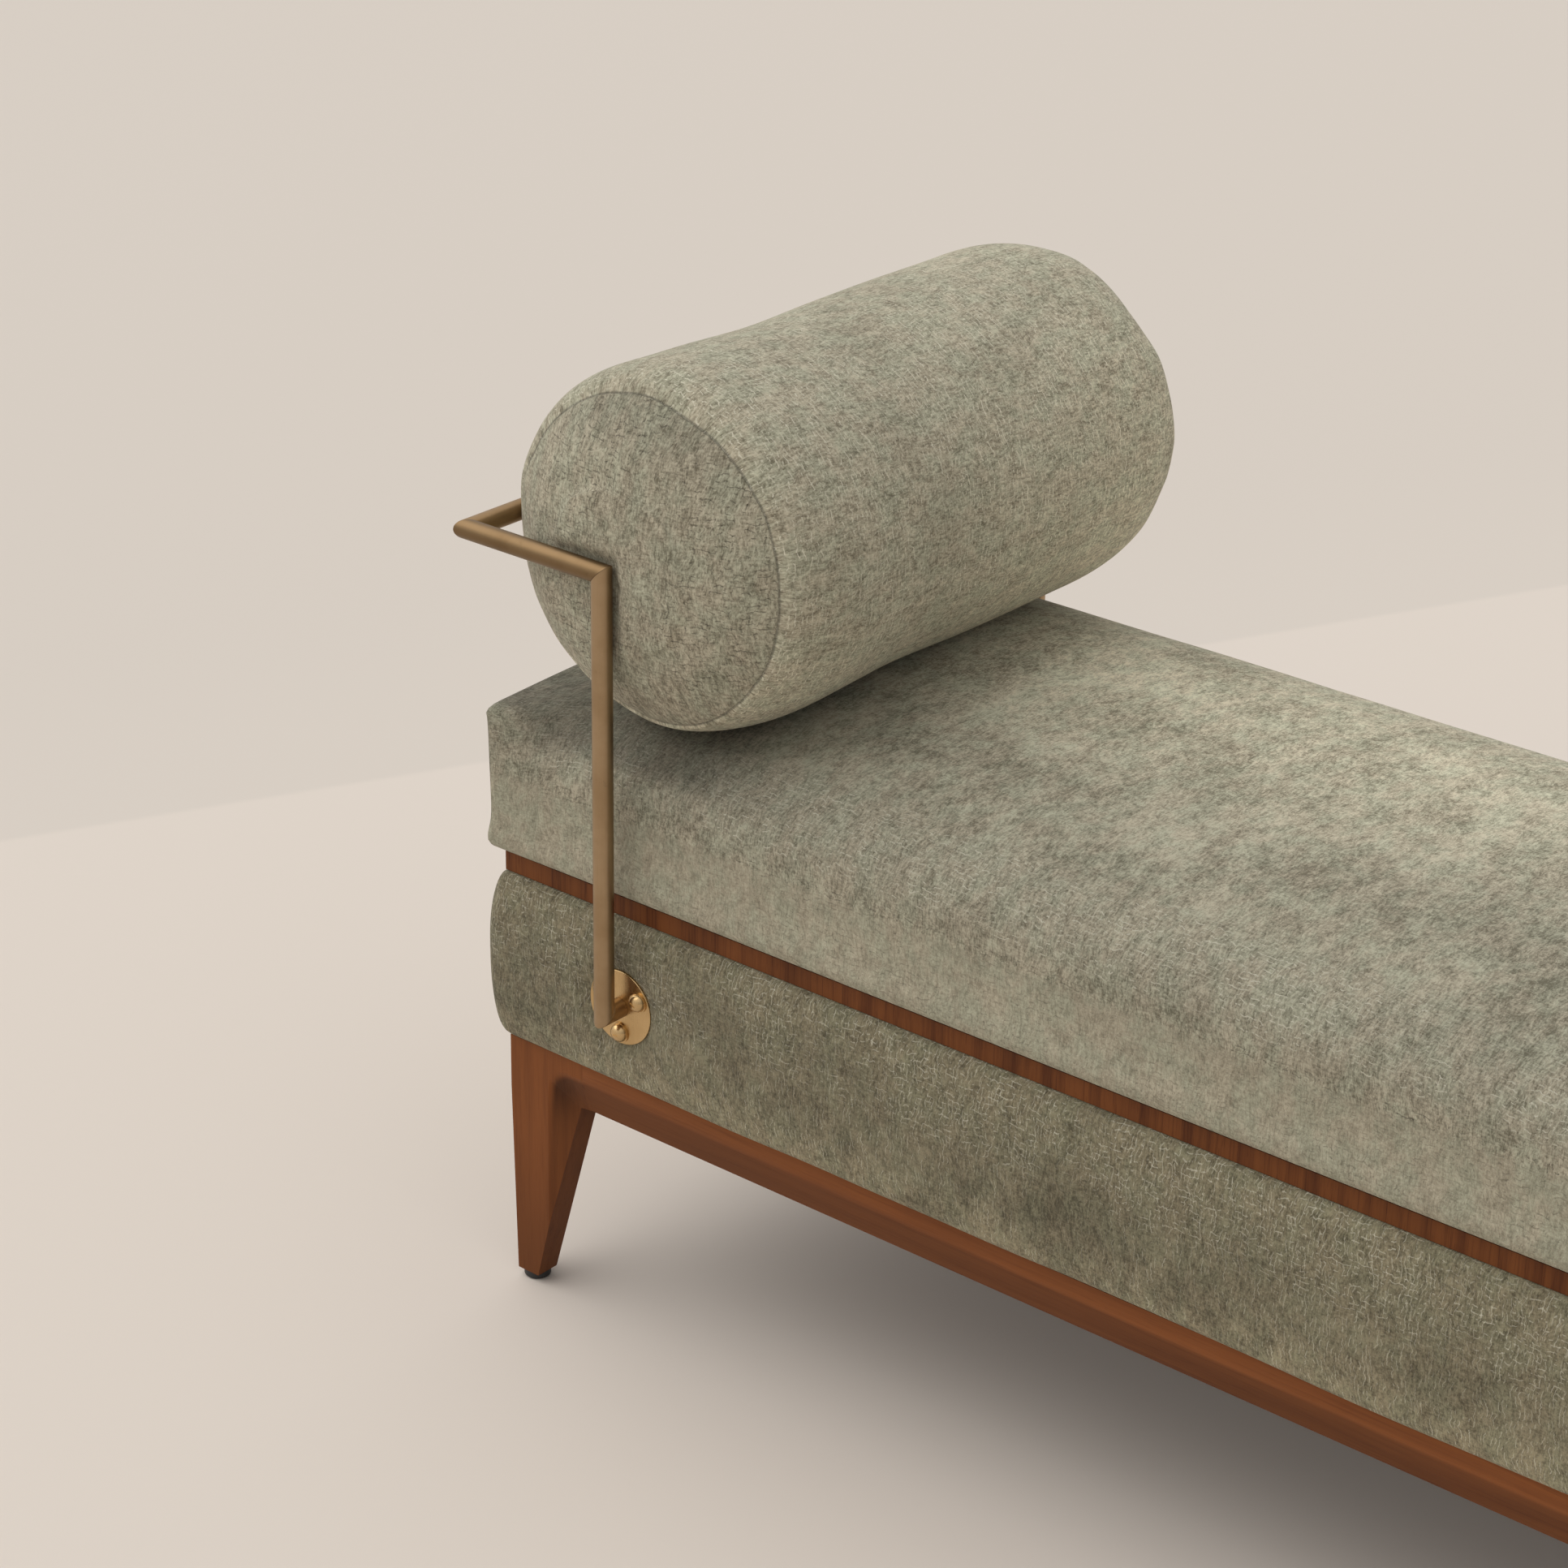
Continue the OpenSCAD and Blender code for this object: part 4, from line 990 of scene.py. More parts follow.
def bolster_shell(cloth):
    """The bolster: rings of points from the front cap over the sleeve to the back cap, with a seam each."""
    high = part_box("bolster_cover")[1]
    centre = (high.x - BOLSTER_R, high.z - BOLSTER_R)
    ends = bolster_ends()
    side_cells = 28
    n = 4 * side_cells
    theta = np.radians(225) - np.linspace(0, 2 * math.pi, n, endpoint=False)
    round_ = np.stack([np.cos(theta), np.sin(theta)], 1)
    near = np.array([0.9, 2.2, 4.5, 8, 13, 20, 29, 40]) * MM

    def gathers(end, weight):
        """Small uneven gathers round a seam, and its tucks."""
        ring = np.stack([round_[:, 0], np.full(n, end.side * 2.0), round_[:, 1]], 1)
        wave = soft_noise(ring, 9.0, 2.0) * 0.5 + soft_noise(ring, 4.2, 7.0)
        size = cloth.pucker * (0.8 if end.side < 0 else 2.2)
        return wave * size * min(weight, 1) - tucked(theta, end) * weight

    def ring(radius, y):
        end = ends[0] if y < 0 else ends[1]
        radius = np.broadcast_to(radius, n)
        middle = centre[0] - end_shift(y, end)
        return np.stack([middle + radius * round_[:, 0], np.full(n, y), centre[1] + radius * round_[:, 1]], 1)

    rows = []
    for end in ends:
        rho = end.seam_r * np.linspace(1, 0, 300)
        rise = cap_height(rho, end)
        run = np.concatenate([[0], np.cumsum(np.hypot(np.diff(rho), np.diff(rise)))])
        cap = []
        for at in np.concatenate([near, np.arange(50, 80, 10) * MM]):
            pull = gathers(end, math.exp(-at / (14 * MM)))
            y = end.side * (end.seam_y + np.interp(at, run, rise))
            cap.append((press_cap(ring(np.interp(at, run, rho) + pull, y), centre, end), end.side * at, 0))
        drawn = press_sleeve(ring(end.seam_r - cloth.groove + gathers(end, 1), end.side * end.seam_y))
        steps = np.concatenate([[0], near])
        mean = np.array([np.mean(bolster_radius(end.side * (end.seam_y - at), theta, ends)) for at in steps])
        length = np.concatenate([[0], np.cumsum(np.hypot(np.diff(steps), np.diff(mean)))])
        length = end.seam_y - near[-1] + length[-1] - length
        seam = (drawn, end.side * length[0], 1)
        edge = []
        for at, far in zip(near, length[1:]):
            y = end.side * (end.seam_y - at)
            radius = bolster_radius(y, theta, ends) + gathers(end, math.exp(-at / (11 * MM)))
            edge.append((ring(radius, y), end.side * far, 0))
        rows.append((cap, seam, edge))
    (front_cap, front_seam, front_edge), (back_cap, back_seam, back_edge) = rows
    first, last = front_edge[-1][1], back_edge[-1][1]
    count = int((last - first) / (9.5 * MM))
    between = np.linspace(first, last, count + 1)[1:-1]
    middle = [(ring(bolster_radius(y, theta, ends), y), y, 0) for y in between]
    sleeve = front_edge + middle + back_edge[::-1]
    flat = np.array([r for r, _, _ in sleeve]).reshape(-1, 3)
    soft = soft_noise(flat, 6.0, 4.0) * 1.1 * MM + soft_noise(flat, 17.0, 8.0) * 0.4 * MM
    outward = np.tile(round_, (len(sleeve), 1)) * soft[:, None]
    flat = press_sleeve(flat + np.stack([outward[:, 0], 0 * soft, outward[:, 1]], 1))
    sleeve = [(points, along, 0) for points, (_, along, _) in zip(flat.reshape(-1, n, 3), sleeve)]
    rows = front_cap[::-1] + [front_seam] + sleeve + [back_seam] + back_cap
    rings = np.array([r for r, _, _ in rows])
    v = [at for _, at, _ in rows]
    seam = np.repeat([s for _, _, s in rows], n)
    caps = [i < len(front_cap) or i >= len(rows) - len(back_cap) for i in range(len(rows))]
    on_cap = np.repeat(caps, n)
    arc_u = np.linspace(0, 2 * math.pi * BOLSTER_R, n + 1)
    shell = Shell()
    flat = rings.reshape(-1, 3)
    facing = np.tile(smoothstep(round_[:, 0] - round_[:, 1] * 0.5, -0.3, 0.9), len(rows))
    under = np.tile(smoothstep(-round_[:, 1], 0.0, 0.7), len(rows))
    # painted light and shade on the bolster's pile
    painted_shading = bolster_painted_shading(flat, facing, under, on_cap, centre[1])
    first, last = shell.rings(rings, arc_u, v, np.where(on_cap, -0.6, 0.85), painted_shading, seam)
    for k in range(n * (len(rows) - 1)):
        if k // n < len(front_cap) or k // n >= len(rows) - 1 - len(back_cap):
            shell.weave[k] = tuple((flat[i][0], flat[i][2]) for i in shell.faces[k])
    for start, loop, end in ((first, rings[0], ends[0]), (last, rings[-1], ends[1])):
        grid = fill_loop(loop, side_cells, side_cells)
        rho = np.hypot(grid[:, :, 0] - centre[0] + end.left, grid[:, :, 2] - centre[1])
        grid[:, :, 1] = end.side * (end.seam_y + cap_height(rho, end))
        pressed = press_cap(grid.reshape(-1, 3), centre, end).reshape(grid.shape)
        shell.lid(start, loop, pressed, lambda p: (p[0], p[2]), -0.6, 1.02, end.side > 0)
    return shell.build("bolster_cushion")


# ---- Base upholstery ----

PAD_EDGE = 12 * MM  # how far the pad stands out where it starts to curve
PAD_FULL = 15.5 * MM  # how much further it bulges
PAD_PEAK = 81 * MM  # height of the bulge's fullest line over the foot
PAD_CREST = 2.5 * MM  # how far the upper curve would rise past the roof, which cuts it
PAD_FAT_LOW, PAD_FAT_HIGH = 2.5, 2.15  # powers of the curves below and above: 2 is an ellipse
PAD_SQUARE = 5  # power of the corners' curve seen from above
PLATE_REST = 0.05 * MM  # how far the cloth stays behind a plate's back
PLATE_R = 8 * MM  # round of the cloth where it leaves a plate's edge


def pad_profile(foot, roof):
    """The pad's cross-section as a closed loop of (distance out, height)."""
    tall = roof - foot
    t = np.radians(np.linspace(-90, 90, 241))
    rise = np.where(t < 0, PAD_PEAK, tall - PAD_PEAK + PAD_CREST)
    bow = 2 / np.where(t < 0, PAD_FAT_LOW, PAD_FAT_HIGH)
    out = PAD_EDGE + PAD_FULL * np.abs(np.cos(t)) ** bow
    z = foot + PAD_PEAK + np.sign(np.sin(t)) * rise * np.abs(np.sin(t)) ** bow
    z[t < 0] -= 0.8 * MM * np.sin(-t[t < 0]) ** 2
    keep = z < roof - 0.2 * MM
    skin = np.stack([out[keep], np.maximum(z[keep], foot - 0.5 * MM)], 1)
    skin = np.concatenate([[[0.4 * MM, foot - 0.7 * MM]], skin, [[0.4 * MM, roof - 0.2 * MM]]])
    outer = resample(skin, 22)
    wall = resample([outer[-1], outer[0]], 4)[1:-1]
    return np.concatenate([outer, wall])


def pad_track(x0, y0):
    """The way round the box: rows of a place and the direction out of it, and the distance run at each."""
    track, run = [], []
    a = np.linspace(0, math.pi / 2, 400)
    bow = 2 / PAD_SQUARE
    turn = resample(np.stack([np.cos(a) ** bow, np.sin(a) ** bow], 1), 14)
    step = np.linalg.norm(turn[1] - turn[0]) * (PAD_EDGE + PAD_FULL)
    corners = [(x0, -y0, -90), (x0, y0, 0), (-x0, y0, 90), (-x0, -y0, 180)]
    at = 0.0
    for k, (cx, cy, start) in enumerate(corners):
        c, d = math.cos(math.radians(start)), math.sin(math.radians(start))
        for i, (ahead, aside) in enumerate(turn):
            track.append((cx, cy, c * ahead - d * aside, d * ahead + c * aside))
            run.append(at)
            at += step if i < len(turn) - 1 else 0
        nx, ny, _ = corners[(k + 1) % 4]
        length = math.hypot(nx - cx, ny - cy)
        cells = int(length / (13 * MM))
        side = math.radians(start + 90)
        for i in range(1, cells):
            s = i / cells
            track.append((cx + (nx - cx) * s, cy + (ny - cy) * s, math.cos(side), math.sin(side)))
            run.append(at + length * s)
        at += length
    return np.array(track), np.array(run + [at])


def rest_on_plates(points, y0):
    """Holds the pad behind the brass plates, with a short crease to the left of each."""
    low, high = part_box("plate_front")
    px, pz = (low.x + high.x) / 2, (low.z + high.z) / 2
    back = abs(high.y)
    radius = (high.z - low.z) / 2
    away = np.hypot(points[:, 0] - px, points[:, 2] - pz) - radius
    limit = back + PLATE_REST + np.maximum(away - 0.6 * MM, 0) ** 2 / (2 * PLATE_R)
    facing = (np.abs(points[:, 1]) > y0 + 8 * MM) & (np.abs(points[:, 0] - px) < 90 * MM)
    held = np.sign(points[:, 1]) * np.minimum(np.abs(points[:, 1]), limit)
    points[:, 1] = np.where(facing, held, points[:, 1])
    left = px - radius - points[:, 0]
    fade = smoothstep(left, -2 * MM, 8 * MM) * (1 - smoothstep(left, 20 * MM, 75 * MM))
    below = points[:, 2] - pz + 9 * MM + (px - points[:, 0]) * 0.04
    crease = np.exp(-((below / (3 * MM)) ** 2)) * fade
    points[:, 1] -= np.sign(points[:, 1]) * crease * facing * 1.1 * MM


def base_shell():
    """The padded cover of the base box: one profile carried round it, full at the sides."""
    low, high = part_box("box_panel_front")
    x0, y0 = high.x, -low.y
    foot, roof = low.z, high.z
    profile = pad_profile(foot, roof)
    m = len(profile)
    track, run = pad_track(x0, y0)
    rings = np.zeros((len(track), m, 3))
    rings[:, :, 0] = track[:, 0:1] + track[:, 2:3] * profile[None, :, 0]
    rings[:, :, 1] = track[:, 1:2] + track[:, 3:4] * profile[None, :, 0]
    rings[:, :, 2] = profile[None, :, 1]
    flat = rings.reshape(-1, 3)
    outward = np.repeat(track[:, 2:4], m, 0)
    deep = np.tile(profile[:, 0], len(track))
    soft = soft_noise(flat, 7.0, 12.0) * 0.9 * MM + soft_noise(flat, 22.0, 15.0) * 0.4 * MM
    hold = smoothstep(flat[:, 2] - foot, 1 * MM, 14 * MM) * smoothstep(roof - flat[:, 2], 1 * MM, 14 * MM)
    flat[:, :2] += outward * (soft * hold * (deep > 6 * MM))[:, None]
    hang = smoothstep(deep, 13.3 * MM, 15 * MM) * (1 - smoothstep(flat[:, 2] - foot, 6 * MM, 30 * MM))
    sag = np.clip(soft_noise(flat * [1, 1, 0], 9.0, 21.0) + 0.35, 0, 1.2) * 2.4 * MM
    flat[:, 2] -= sag * hang
    rest_on_plates(flat, y0)
    rings = flat.reshape(rings.shape)
    up = rings[:, :, 2] - foot
    lift = smoothstep(up, 50 * MM, 110 * MM) * 0.95
    # painted light on the base's pile: lighter low down, a little lighter near the top and towards the right
    painted_shading = 0.88 + 0.35 * (1 - smoothstep(up, 4 * MM, 48 * MM)) + 0.06 * smoothstep(up, 90 * MM, 130 * MM)
    painted_shading += 0.08 * smoothstep(rings[:, :, 0], -500 * MM, 100 * MM)
    steps = np.linalg.norm(np.diff(np.concatenate([profile, profile[:1]]), axis=0), axis=1)
    v = np.concatenate([[0], np.cumsum(steps)])
    shell = Shell()
    shell.rings(rings, v, run, lift.ravel(), painted_shading.ravel(), swap=True, closed=True)
    return shell.build("base_upholstery")


def finish_padding(obj, slim, under_wood=False):
    """Lets a cushion fill its form as cloth under a little pressure, and then smooths it."""
    settle(obj, slim, under_wood)
    apply(obj, "SUBSURF", levels=1, render_levels=1)
    bpy.ops.object.shade_smooth()
    turn_outward(obj)


SETTLE_FRAMES = 20
SETTLE_EDGE = (4 * MM, 34 * MM)  # distances from its rest where a cushion starts to be drawn in, and fully is


def settle(obj, slim, under_wood):
    """Draws a cushion in by slim, and lets it fill out again as cloth under pressure.
    No point moves further than it was drawn in, so the cushion stays in its form. It isn't drawn in where
    it rests on something, or where it meets wood above it."""
    normals = np.zeros(len(obj.data.vertices) * 3, np.float32)
    obj.data.vertices.foreach_get("normal", normals)
    full = take_points(obj)
    free = smoothstep(full[:, 2] - full[:, 2].min(), *SETTLE_EDGE)
    if under_wood:
        free = free * smoothstep(full[:, 2].max() - full[:, 2], *SETTLE_EDGE)
    drawn = slim * free
    rest = full - normals.reshape(-1, 3) * drawn[:, None]
    put_points(obj, rest)
    only(obj)
    bpy.ops.object.modifier_add(type="CLOTH")
    modifier = obj.modifiers[-1]
    cloth = modifier.settings
    cloth.quality = 5
    cloth.mass = 0.3
    cloth.tension_stiffness = 15
    cloth.compression_stiffness = 15
    cloth.shear_stiffness = 8
    cloth.bending_stiffness = 0.6
    cloth.use_pressure = True
    cloth.uniform_pressure_force = 4
    cloth.effector_weights.gravity = 0
    modifier.collision_settings.use_collision = False
    modifier.collision_settings.use_self_collision = False
    scene = bpy.context.scene
    modifier.point_cache.frame_start = 1
    modifier.point_cache.frame_end = SETTLE_FRAMES
    for frame in range(1, SETTLE_FRAMES + 1):
        scene.frame_set(frame)
    shaped = obj.evaluated_get(bpy.context.evaluated_depsgraph_get())
    moved = np.zeros(len(shaped.data.vertices) * 3, np.float32)
    shaped.data.vertices.foreach_get("co", moved)
    moved = moved.reshape(-1, 3) - rest
    obj.modifiers.remove(modifier)
    scene.frame_set(1)
    length = np.linalg.norm(moved, axis=1)
    share = np.minimum(1, drawn / np.maximum(length, 1e-9))
    put_points(obj, rest + moved * share[:, None])


# ---- Wood ----

TENON = 24 * MM  # length of a rail's tenon
JOINT_WITHIN = 0.15 * MM  # an edge this near a joint's face is left sharp


def on_corner_joint(a, b):
    """True for an edge in the face where a leg meets a rail, or of a hidden socket."""
    low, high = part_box("rail_front")
    leg_low, leg_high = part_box("leg_front_right")
    if all(abs(p.x) < abs(leg_low.x) + JOINT_WITHIN for p in (a, b)):
        return True
    if all(abs(p.y) < abs(leg_high.y) + JOINT_WITHIN for p in (a, b)):
        return True
    inside = all(abs(p.x) < high.x + 53.4 * MM and abs(p.y) < abs(low.y) - 0.6 * MM for p in (a, b))
    return inside and min(a.z, b.z) > low.z + 2 * MM


def make_legs():
    """The four legs."""
    edge = bpy.context.scene.daybed_wood.edge * 0.75
    for node in ("leg_front_left", "leg_front_right", "leg_back_left", "leg_back_right"):
        leg = copy_of(node, "walnut_" + node)
        soften(leg, edge, 16, on_corner_joint, 3)
        dress(leg, finishes()["upright"], "walnut", "frame", node)


def make_rails():
    """The four rails between the legs, and the cross rails."""
    edge = bpy.context.scene.daybed_wood.edge * 0.75
    for side, axis in (("front", 0), ("back", 0), ("left", 1), ("right", 1)):
        node = "rail_" + side
        shoulder = abs(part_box(node)[1][axis]) - TENON - 0.2 * MM
        rail = copy_of(node, "walnut_" + node)
        soften(rail, edge, 16, lambda a, b: min(abs(a[axis]), abs(b[axis])) > shoulder, 3)
        dress(rail, finishes()[("along", "across")[axis]], "walnut", "frame", node)
    for node in ("cross_rail_left", "cross_rail_middle", "cross_rail_right"):
        bar = copy_of(node, "walnut_" + node)
        soften(bar, edge, 30)
        dress(bar, finishes()["across"], "walnut", "frame", node)


def make_band():
    """The wood band, with its mitres left sharp."""
    low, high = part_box("band_front")
    skew = high.x + low.y

    def on_mitre(a, b):
        return all(abs(abs(p.x) - abs(p.y) - skew) < 0.1 * MM for p in (a, b))

    for side in ("front", "back", "left", "right"):
        node = "band_" + side
        strip = copy_of(node, "walnut_" + node)
        soften(strip, bpy.context.scene.daybed_wood.edge * 0.5, 30, on_mitre)
        dress(strip, finishes()["band"], "walnut", "frame", node)


# ---- Brass ----

SCREW_FLANGE_R, SCREW_FLANGE_T = 8.5 * MM, 1.2 * MM
SCREW_DOME_R, SCREW_DOME_H = 7.5 * MM, 5.6 * MM
SCREW_SHANK_R, SCREW_SHANK_L = 3 * MM, 44 * MM
SCREW_SLOT = (8.4 * MM, 2.6 * MM, 1.1 * MM)  # length, depth and width
SCREW_SLOT_AT = 7.5 * MM  # middle of the slot's cutter over the plate
SCREW_RING_R = 21.5 * MM  # circle on which the screws stand


def make_tubes():
    """The brass tubes, each brushed along its own length."""
    edge = bpy.context.scene.daybed_metal.edge
    for node, finish in (
        ("rail_stub_front", "brass_y"), ("rail_post_front", "brass_z"), ("rail_arm_front", "brass_x"),
        ("rail_crossbar", "brass_y"),
        ("rail_arm_back", "brass_x"), ("rail_post_back", "brass_z"), ("rail_stub_back", "brass_y"),
    ):
        tube = copy_of(node, "brass_" + node)
        soften(tube, edge * 0.7, 28)
        dress(tube, finishes()[finish], "brass", "frame", node)


def make_plates():
    """The two round plates."""
    for node in ("plate_front", "plate_back"):
        plate = copy_of(node, "brass_" + node)
        soften(plate, bpy.context.scene.daybed_metal.edge, 40, segments=3)
        dress(plate, finishes()["bright"], "brass", "frame", node)


def screw_at(x, face, z, side, slot_turn):
    """One screw: a flange and a domed head with a slot, on a straight shank."""
    bpy.ops.object.select_all(action="DESELECT")
    bpy.ops.mesh.primitive_cylinder_add(
        vertices=48, radius=SCREW_FLANGE_R, depth=SCREW_FLANGE_T, end_fill_type="NGON",
        location=(x, side * (face + SCREW_FLANGE_T / 2), z), rotation=(math.radians(90), 0, 0),
    )
    screw = bpy.context.object
    bpy.ops.object.transform_apply(location=True, rotation=True, scale=True)
    bpy.ops.object.mode_set(mode="EDIT")
    bpy.ops.mesh.select_mode(type="FACE")

    def pick(direction):
        """Selects the flat face at one end."""
        bpy.ops.mesh.select_all(action="DESELECT")
        work = bmesh.from_edit_mesh(screw.data)
        flat = [f for f in work.faces if f.normal.y * side * direction > 0.9]
        best = max(flat, key=lambda f: f.calc_center_median().y * side * direction)
        best.select = True
        work.faces.active = best
        bmesh.update_edit_mesh(screw.data)

    pick(1)
    bpy.ops.mesh.inset(thickness=(SCREW_FLANGE_R - SCREW_DOME_R) / 2)
    bpy.ops.mesh.inset(thickness=(SCREW_FLANGE_R - SCREW_DOME_R) / 2)
    last_r, last_h = SCREW_DOME_R, 0.0
    for degrees in (18, 36, 54, 70, 82):
        a = math.radians(degrees)
        r, h = SCREW_DOME_R * math.cos(a), SCREW_DOME_H * math.sin(a)
        bpy.ops.mesh.extrude_region_move(TRANSFORM_OT_translate={"value": (0, side * (h - last_h), 0)})
        bpy.ops.transform.resize(value=(r / last_r, 1, r / last_r))
        last_r, last_h = r, h
    pick(-1)
    bpy.ops.mesh.inset(thickness=SCREW_FLANGE_R - SCREW_SHANK_R)
    bpy.ops.mesh.extrude_region_move(TRANSFORM_OT_translate={"value": (0, -side * SCREW_SHANK_L, 0)})
    bpy.ops.object.mode_set(mode="OBJECT")
    bpy.ops.object.select_all(action="DESELECT")
    bpy.ops.mesh.primitive_cube_add(size=1, location=(x, side * (face + SCREW_SLOT_AT), z))
    slot = bpy.context.object
    slot.scale = SCREW_SLOT
    slot.rotation_euler = (0, slot_turn, 0)
    bpy.ops.object.transform_apply(location=True, rotation=True, scale=True)
    apply(screw, "BOOLEAN", object=slot, operation="DIFFERENCE", solver="EXACT")
    bpy.data.objects.remove(slot)
    return screw


def make_screws():
    """The three screws of each plate, each turned in as far as it would go."""
    low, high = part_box("plate_front")
    px, pz = (low.x + high.x) / 2, (low.z + high.z) / 2
    for node, side in (("plate_screws_front", -1), ("plate_screws_back", 1)):
        made = []
        for k in range(3):
            a = math.radians(30 + 120 * k)
            x, z = px + math.cos(a) * SCREW_RING_R, pz + math.sin(a) * SCREW_RING_R
            made.append(screw_at(x, abs(low.y), z, side, math.radians(35 + 70 * k)))
        screws = joined(made, "brass_" + node)
        turn_outward(screws)
        smooth(screws, 35)
        dress(screws, finishes()["bright"], "brass", "frame", node)


# ---- Small and hidden parts ----


def make_glides():
    """The four black glides, each on a screw of its own."""
    for node in ("glide_front_left", "glide_front_right", "glide_back_left", "glide_back_right"):
        glide = copy_of(node, "nylon_" + node)
        soften(glide, 0.7 * MM, 30)
        dress(glide, finishes()["nylon"], "black_nylon", node, node)


def paint_hidden():
    """The plywood, the bolts and the lining, which keep the shapes of their solids."""
    done = finishes()
    for node in (
        "box_panel_front", "box_panel_back", "box_panel_left", "box_panel_right", "box_ribs",
        "corner_blocks", "deck", "plate_spacer_front", "plate_spacer_back",
    ):
        paint_node(node, done["ply"])
    for node in ("corner_bolts", "box_bolts", "glide_sleeves"):
        paint_node(node, done["zinc"])
    paint_node("dust_cover", done["lining"])


ZIP_W = 11 * MM
ZIP_OVER = 0.3 * MM  # how far the tape lies over the cloth
ZIP_THICK = 0.7 * MM
ZIP_TOOTH, ZIP_RIB = 1.5 * MM, 1.1 * MM  # pitches of the teeth and of the tape's ribs
# The zip's cross-section: places over half its width, and heights over the tape's back in units of 0.62 mm
ZIP_STEPS = (-1, -0.62, -0.30, -0.20, -0.08, 0.08, 0.20, 0.30, 0.62, 1)
ZIP_HEIGHTS = (0.0, 0.5, 0.55, 1.35, 1.75, 1.75, 1.35, 0.55, 0.5, 0.0)


def zip_strip(name, cushion, start, end, cells, out):
    """A zip laid on a cushion between two points: two woven tapes and a row of teeth on its surface."""
    start, end, out = Vector(start), Vector(end), Vector(out).normalized()
    along = (end - start).normalized()
    sideways = along.cross(out).normalized()
    depsgraph = bpy.context.evaluated_depsgraph_get()
    points, weave = [], []
    length = (end - start).length
    for i in range(cells + 1):
        base = start.lerp(end, i / cells)
        for s, h in zip(ZIP_STEPS, ZIP_HEIGHTS):
            under = base + sideways * (s * ZIP_W / 2)
            hit, spot, normal, _ = cushion.ray_cast(under + out * 60 * MM, -out, depsgraph=depsgraph)
            if not hit:
                spot, normal = under, out
            points.append(spot + normal * (h * 0.62 * MM + ZIP_OVER))
            weave.append((length * i / cells, s * ZIP_W / 2))
    n = len(ZIP_STEPS)
    starts = [i * n + j for i in range(cells) for j in range(n - 1)]
    faces = [(k, k + 1, k + n + 1, k + n) for k in starts]
    mesh = bpy.data.meshes.new(name)
    mesh.from_pydata([tuple(p) for p in points], [], faces)
    layer = mesh.uv_layers.new(name="weave")
    layer.data.foreach_set("uv", [c for loop in mesh.loops for c in weave[loop.vertex_index]])
    obj = linked(name, mesh)
    turn_outward(obj)
    middle = obj.data.polygons[len(obj.data.polygons) // 2]
    if middle.normal.dot(out) < 0:
        bpy.ops.object.mode_set(mode="EDIT")
        bpy.ops.mesh.flip_normals()
        bpy.ops.object.mode_set(mode="OBJECT")
    apply(obj, "SOLIDIFY", thickness=ZIP_THICK, offset=-1)
    smooth(obj, 40)
    return obj


def zip_finish():
    """The woven tape and the teeth, made once."""
    if "zip" in FINISH:
        return FINISH["zip"]
    p = Paint("olive_zip")
    uv = p.node("ShaderNodeUVMap", out="UV", uv_map="weave")
    u, v = p.part(uv, 0), p.part(uv, 1)
    middle = 1 - p.step(p.math("ABSOLUTE", v), 1.3 * MM, 1.7 * MM)
    tooth = p.math("ABSOLUTE", p.math("FRACT", u / ZIP_TOOTH) - 0.5) * 2
    rib = p.math("ABSOLUTE", p.math("FRACT", v / ZIP_RIB) - 0.5) * 2
    weave = p.noise(p.join(u * 900.0, v * 900.0), detail=2)
    colour = p.blend(middle, (0.085, 0.083, 0.058), (0.16, 0.155, 0.11))
    colour = p.scaled(colour, 0.75 + weave * 0.5)
    height = middle * tooth + (1 - middle) * (rib * 0.25 + weave * 0.3)
    FINISH["zip"] = p.surface(
        Base_Color=colour, Roughness=0.75 - middle * 0.3, Normal=p.bump(height, 0.6, 0.0006)
    )
    return FINISH["zip"]


def zip_slider(name, node, axis):
    """The slider and its hanging tab, shaped from two blocks inside the solid's own box."""
    low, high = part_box(node)
    middle, size = (low + high) / 2, high - low
    thin = min(range(3), key=lambda i: size[i])
    made = []
    for part in (0, 1):
        span = Vector(size)
        place = Vector(middle)
        if part == 0:
            span[axis] = size[axis] * 0.36
            place[axis] = high[axis] - span[axis] / 2
        else:
            span[axis] = size[axis] * 0.70
            place[axis] = low[axis] + span[axis] / 2
            span[3 - axis - thin] *= 0.62
            span[thin] *= 0.4
        bpy.ops.object.select_all(action="DESELECT")
        bpy.ops.mesh.primitive_cube_add(size=1, location=place)
        block = bpy.context.object
        block.scale = span
        bpy.ops.object.transform_apply(location=True, rotation=True, scale=True)
        bpy.ops.object.mode_set(mode="EDIT")
        bpy.ops.mesh.select_all(action="SELECT")
        bpy.ops.mesh.bevel(
            offset=min(span) * 0.42, segments=4, profile=0.5, affect="EDGES", clamp_overlap=True
        )
        bpy.ops.object.mode_set(mode="OBJECT")
        made.append(block)
    slider = joined(made, name)
    smooth(slider, 50)
    return slider


# ---- Stage ----

FLOOR_WIDE = 60.0
# The foot of the wall: a point of it on the floor, and the direction on the floor that leads away behind it
WALL_FOOT, WALL_WAY = (-1.854, 0.010), (-0.8986, 0.4389)
SKY_WAY = (-0.35, -0.20, 0.91)  # where most of the even light comes from
KEY_WAY = (-0.46, -0.30, 0.84)  # where the soft lamp stands
KEY_SPREAD = 70  # degrees
CAMERA_PLACE = (1.04215, -2.2294, 1.7132)
CAMERA_RIGHT, CAMERA_UP = (0.76353, 0.64563, 0.01352), (-0.27803, 0.30976, 0.90926)
CAMERA_LENS = 90.46
SEEN_ROOM = 0.82  # brightness of what lies beyond the floor


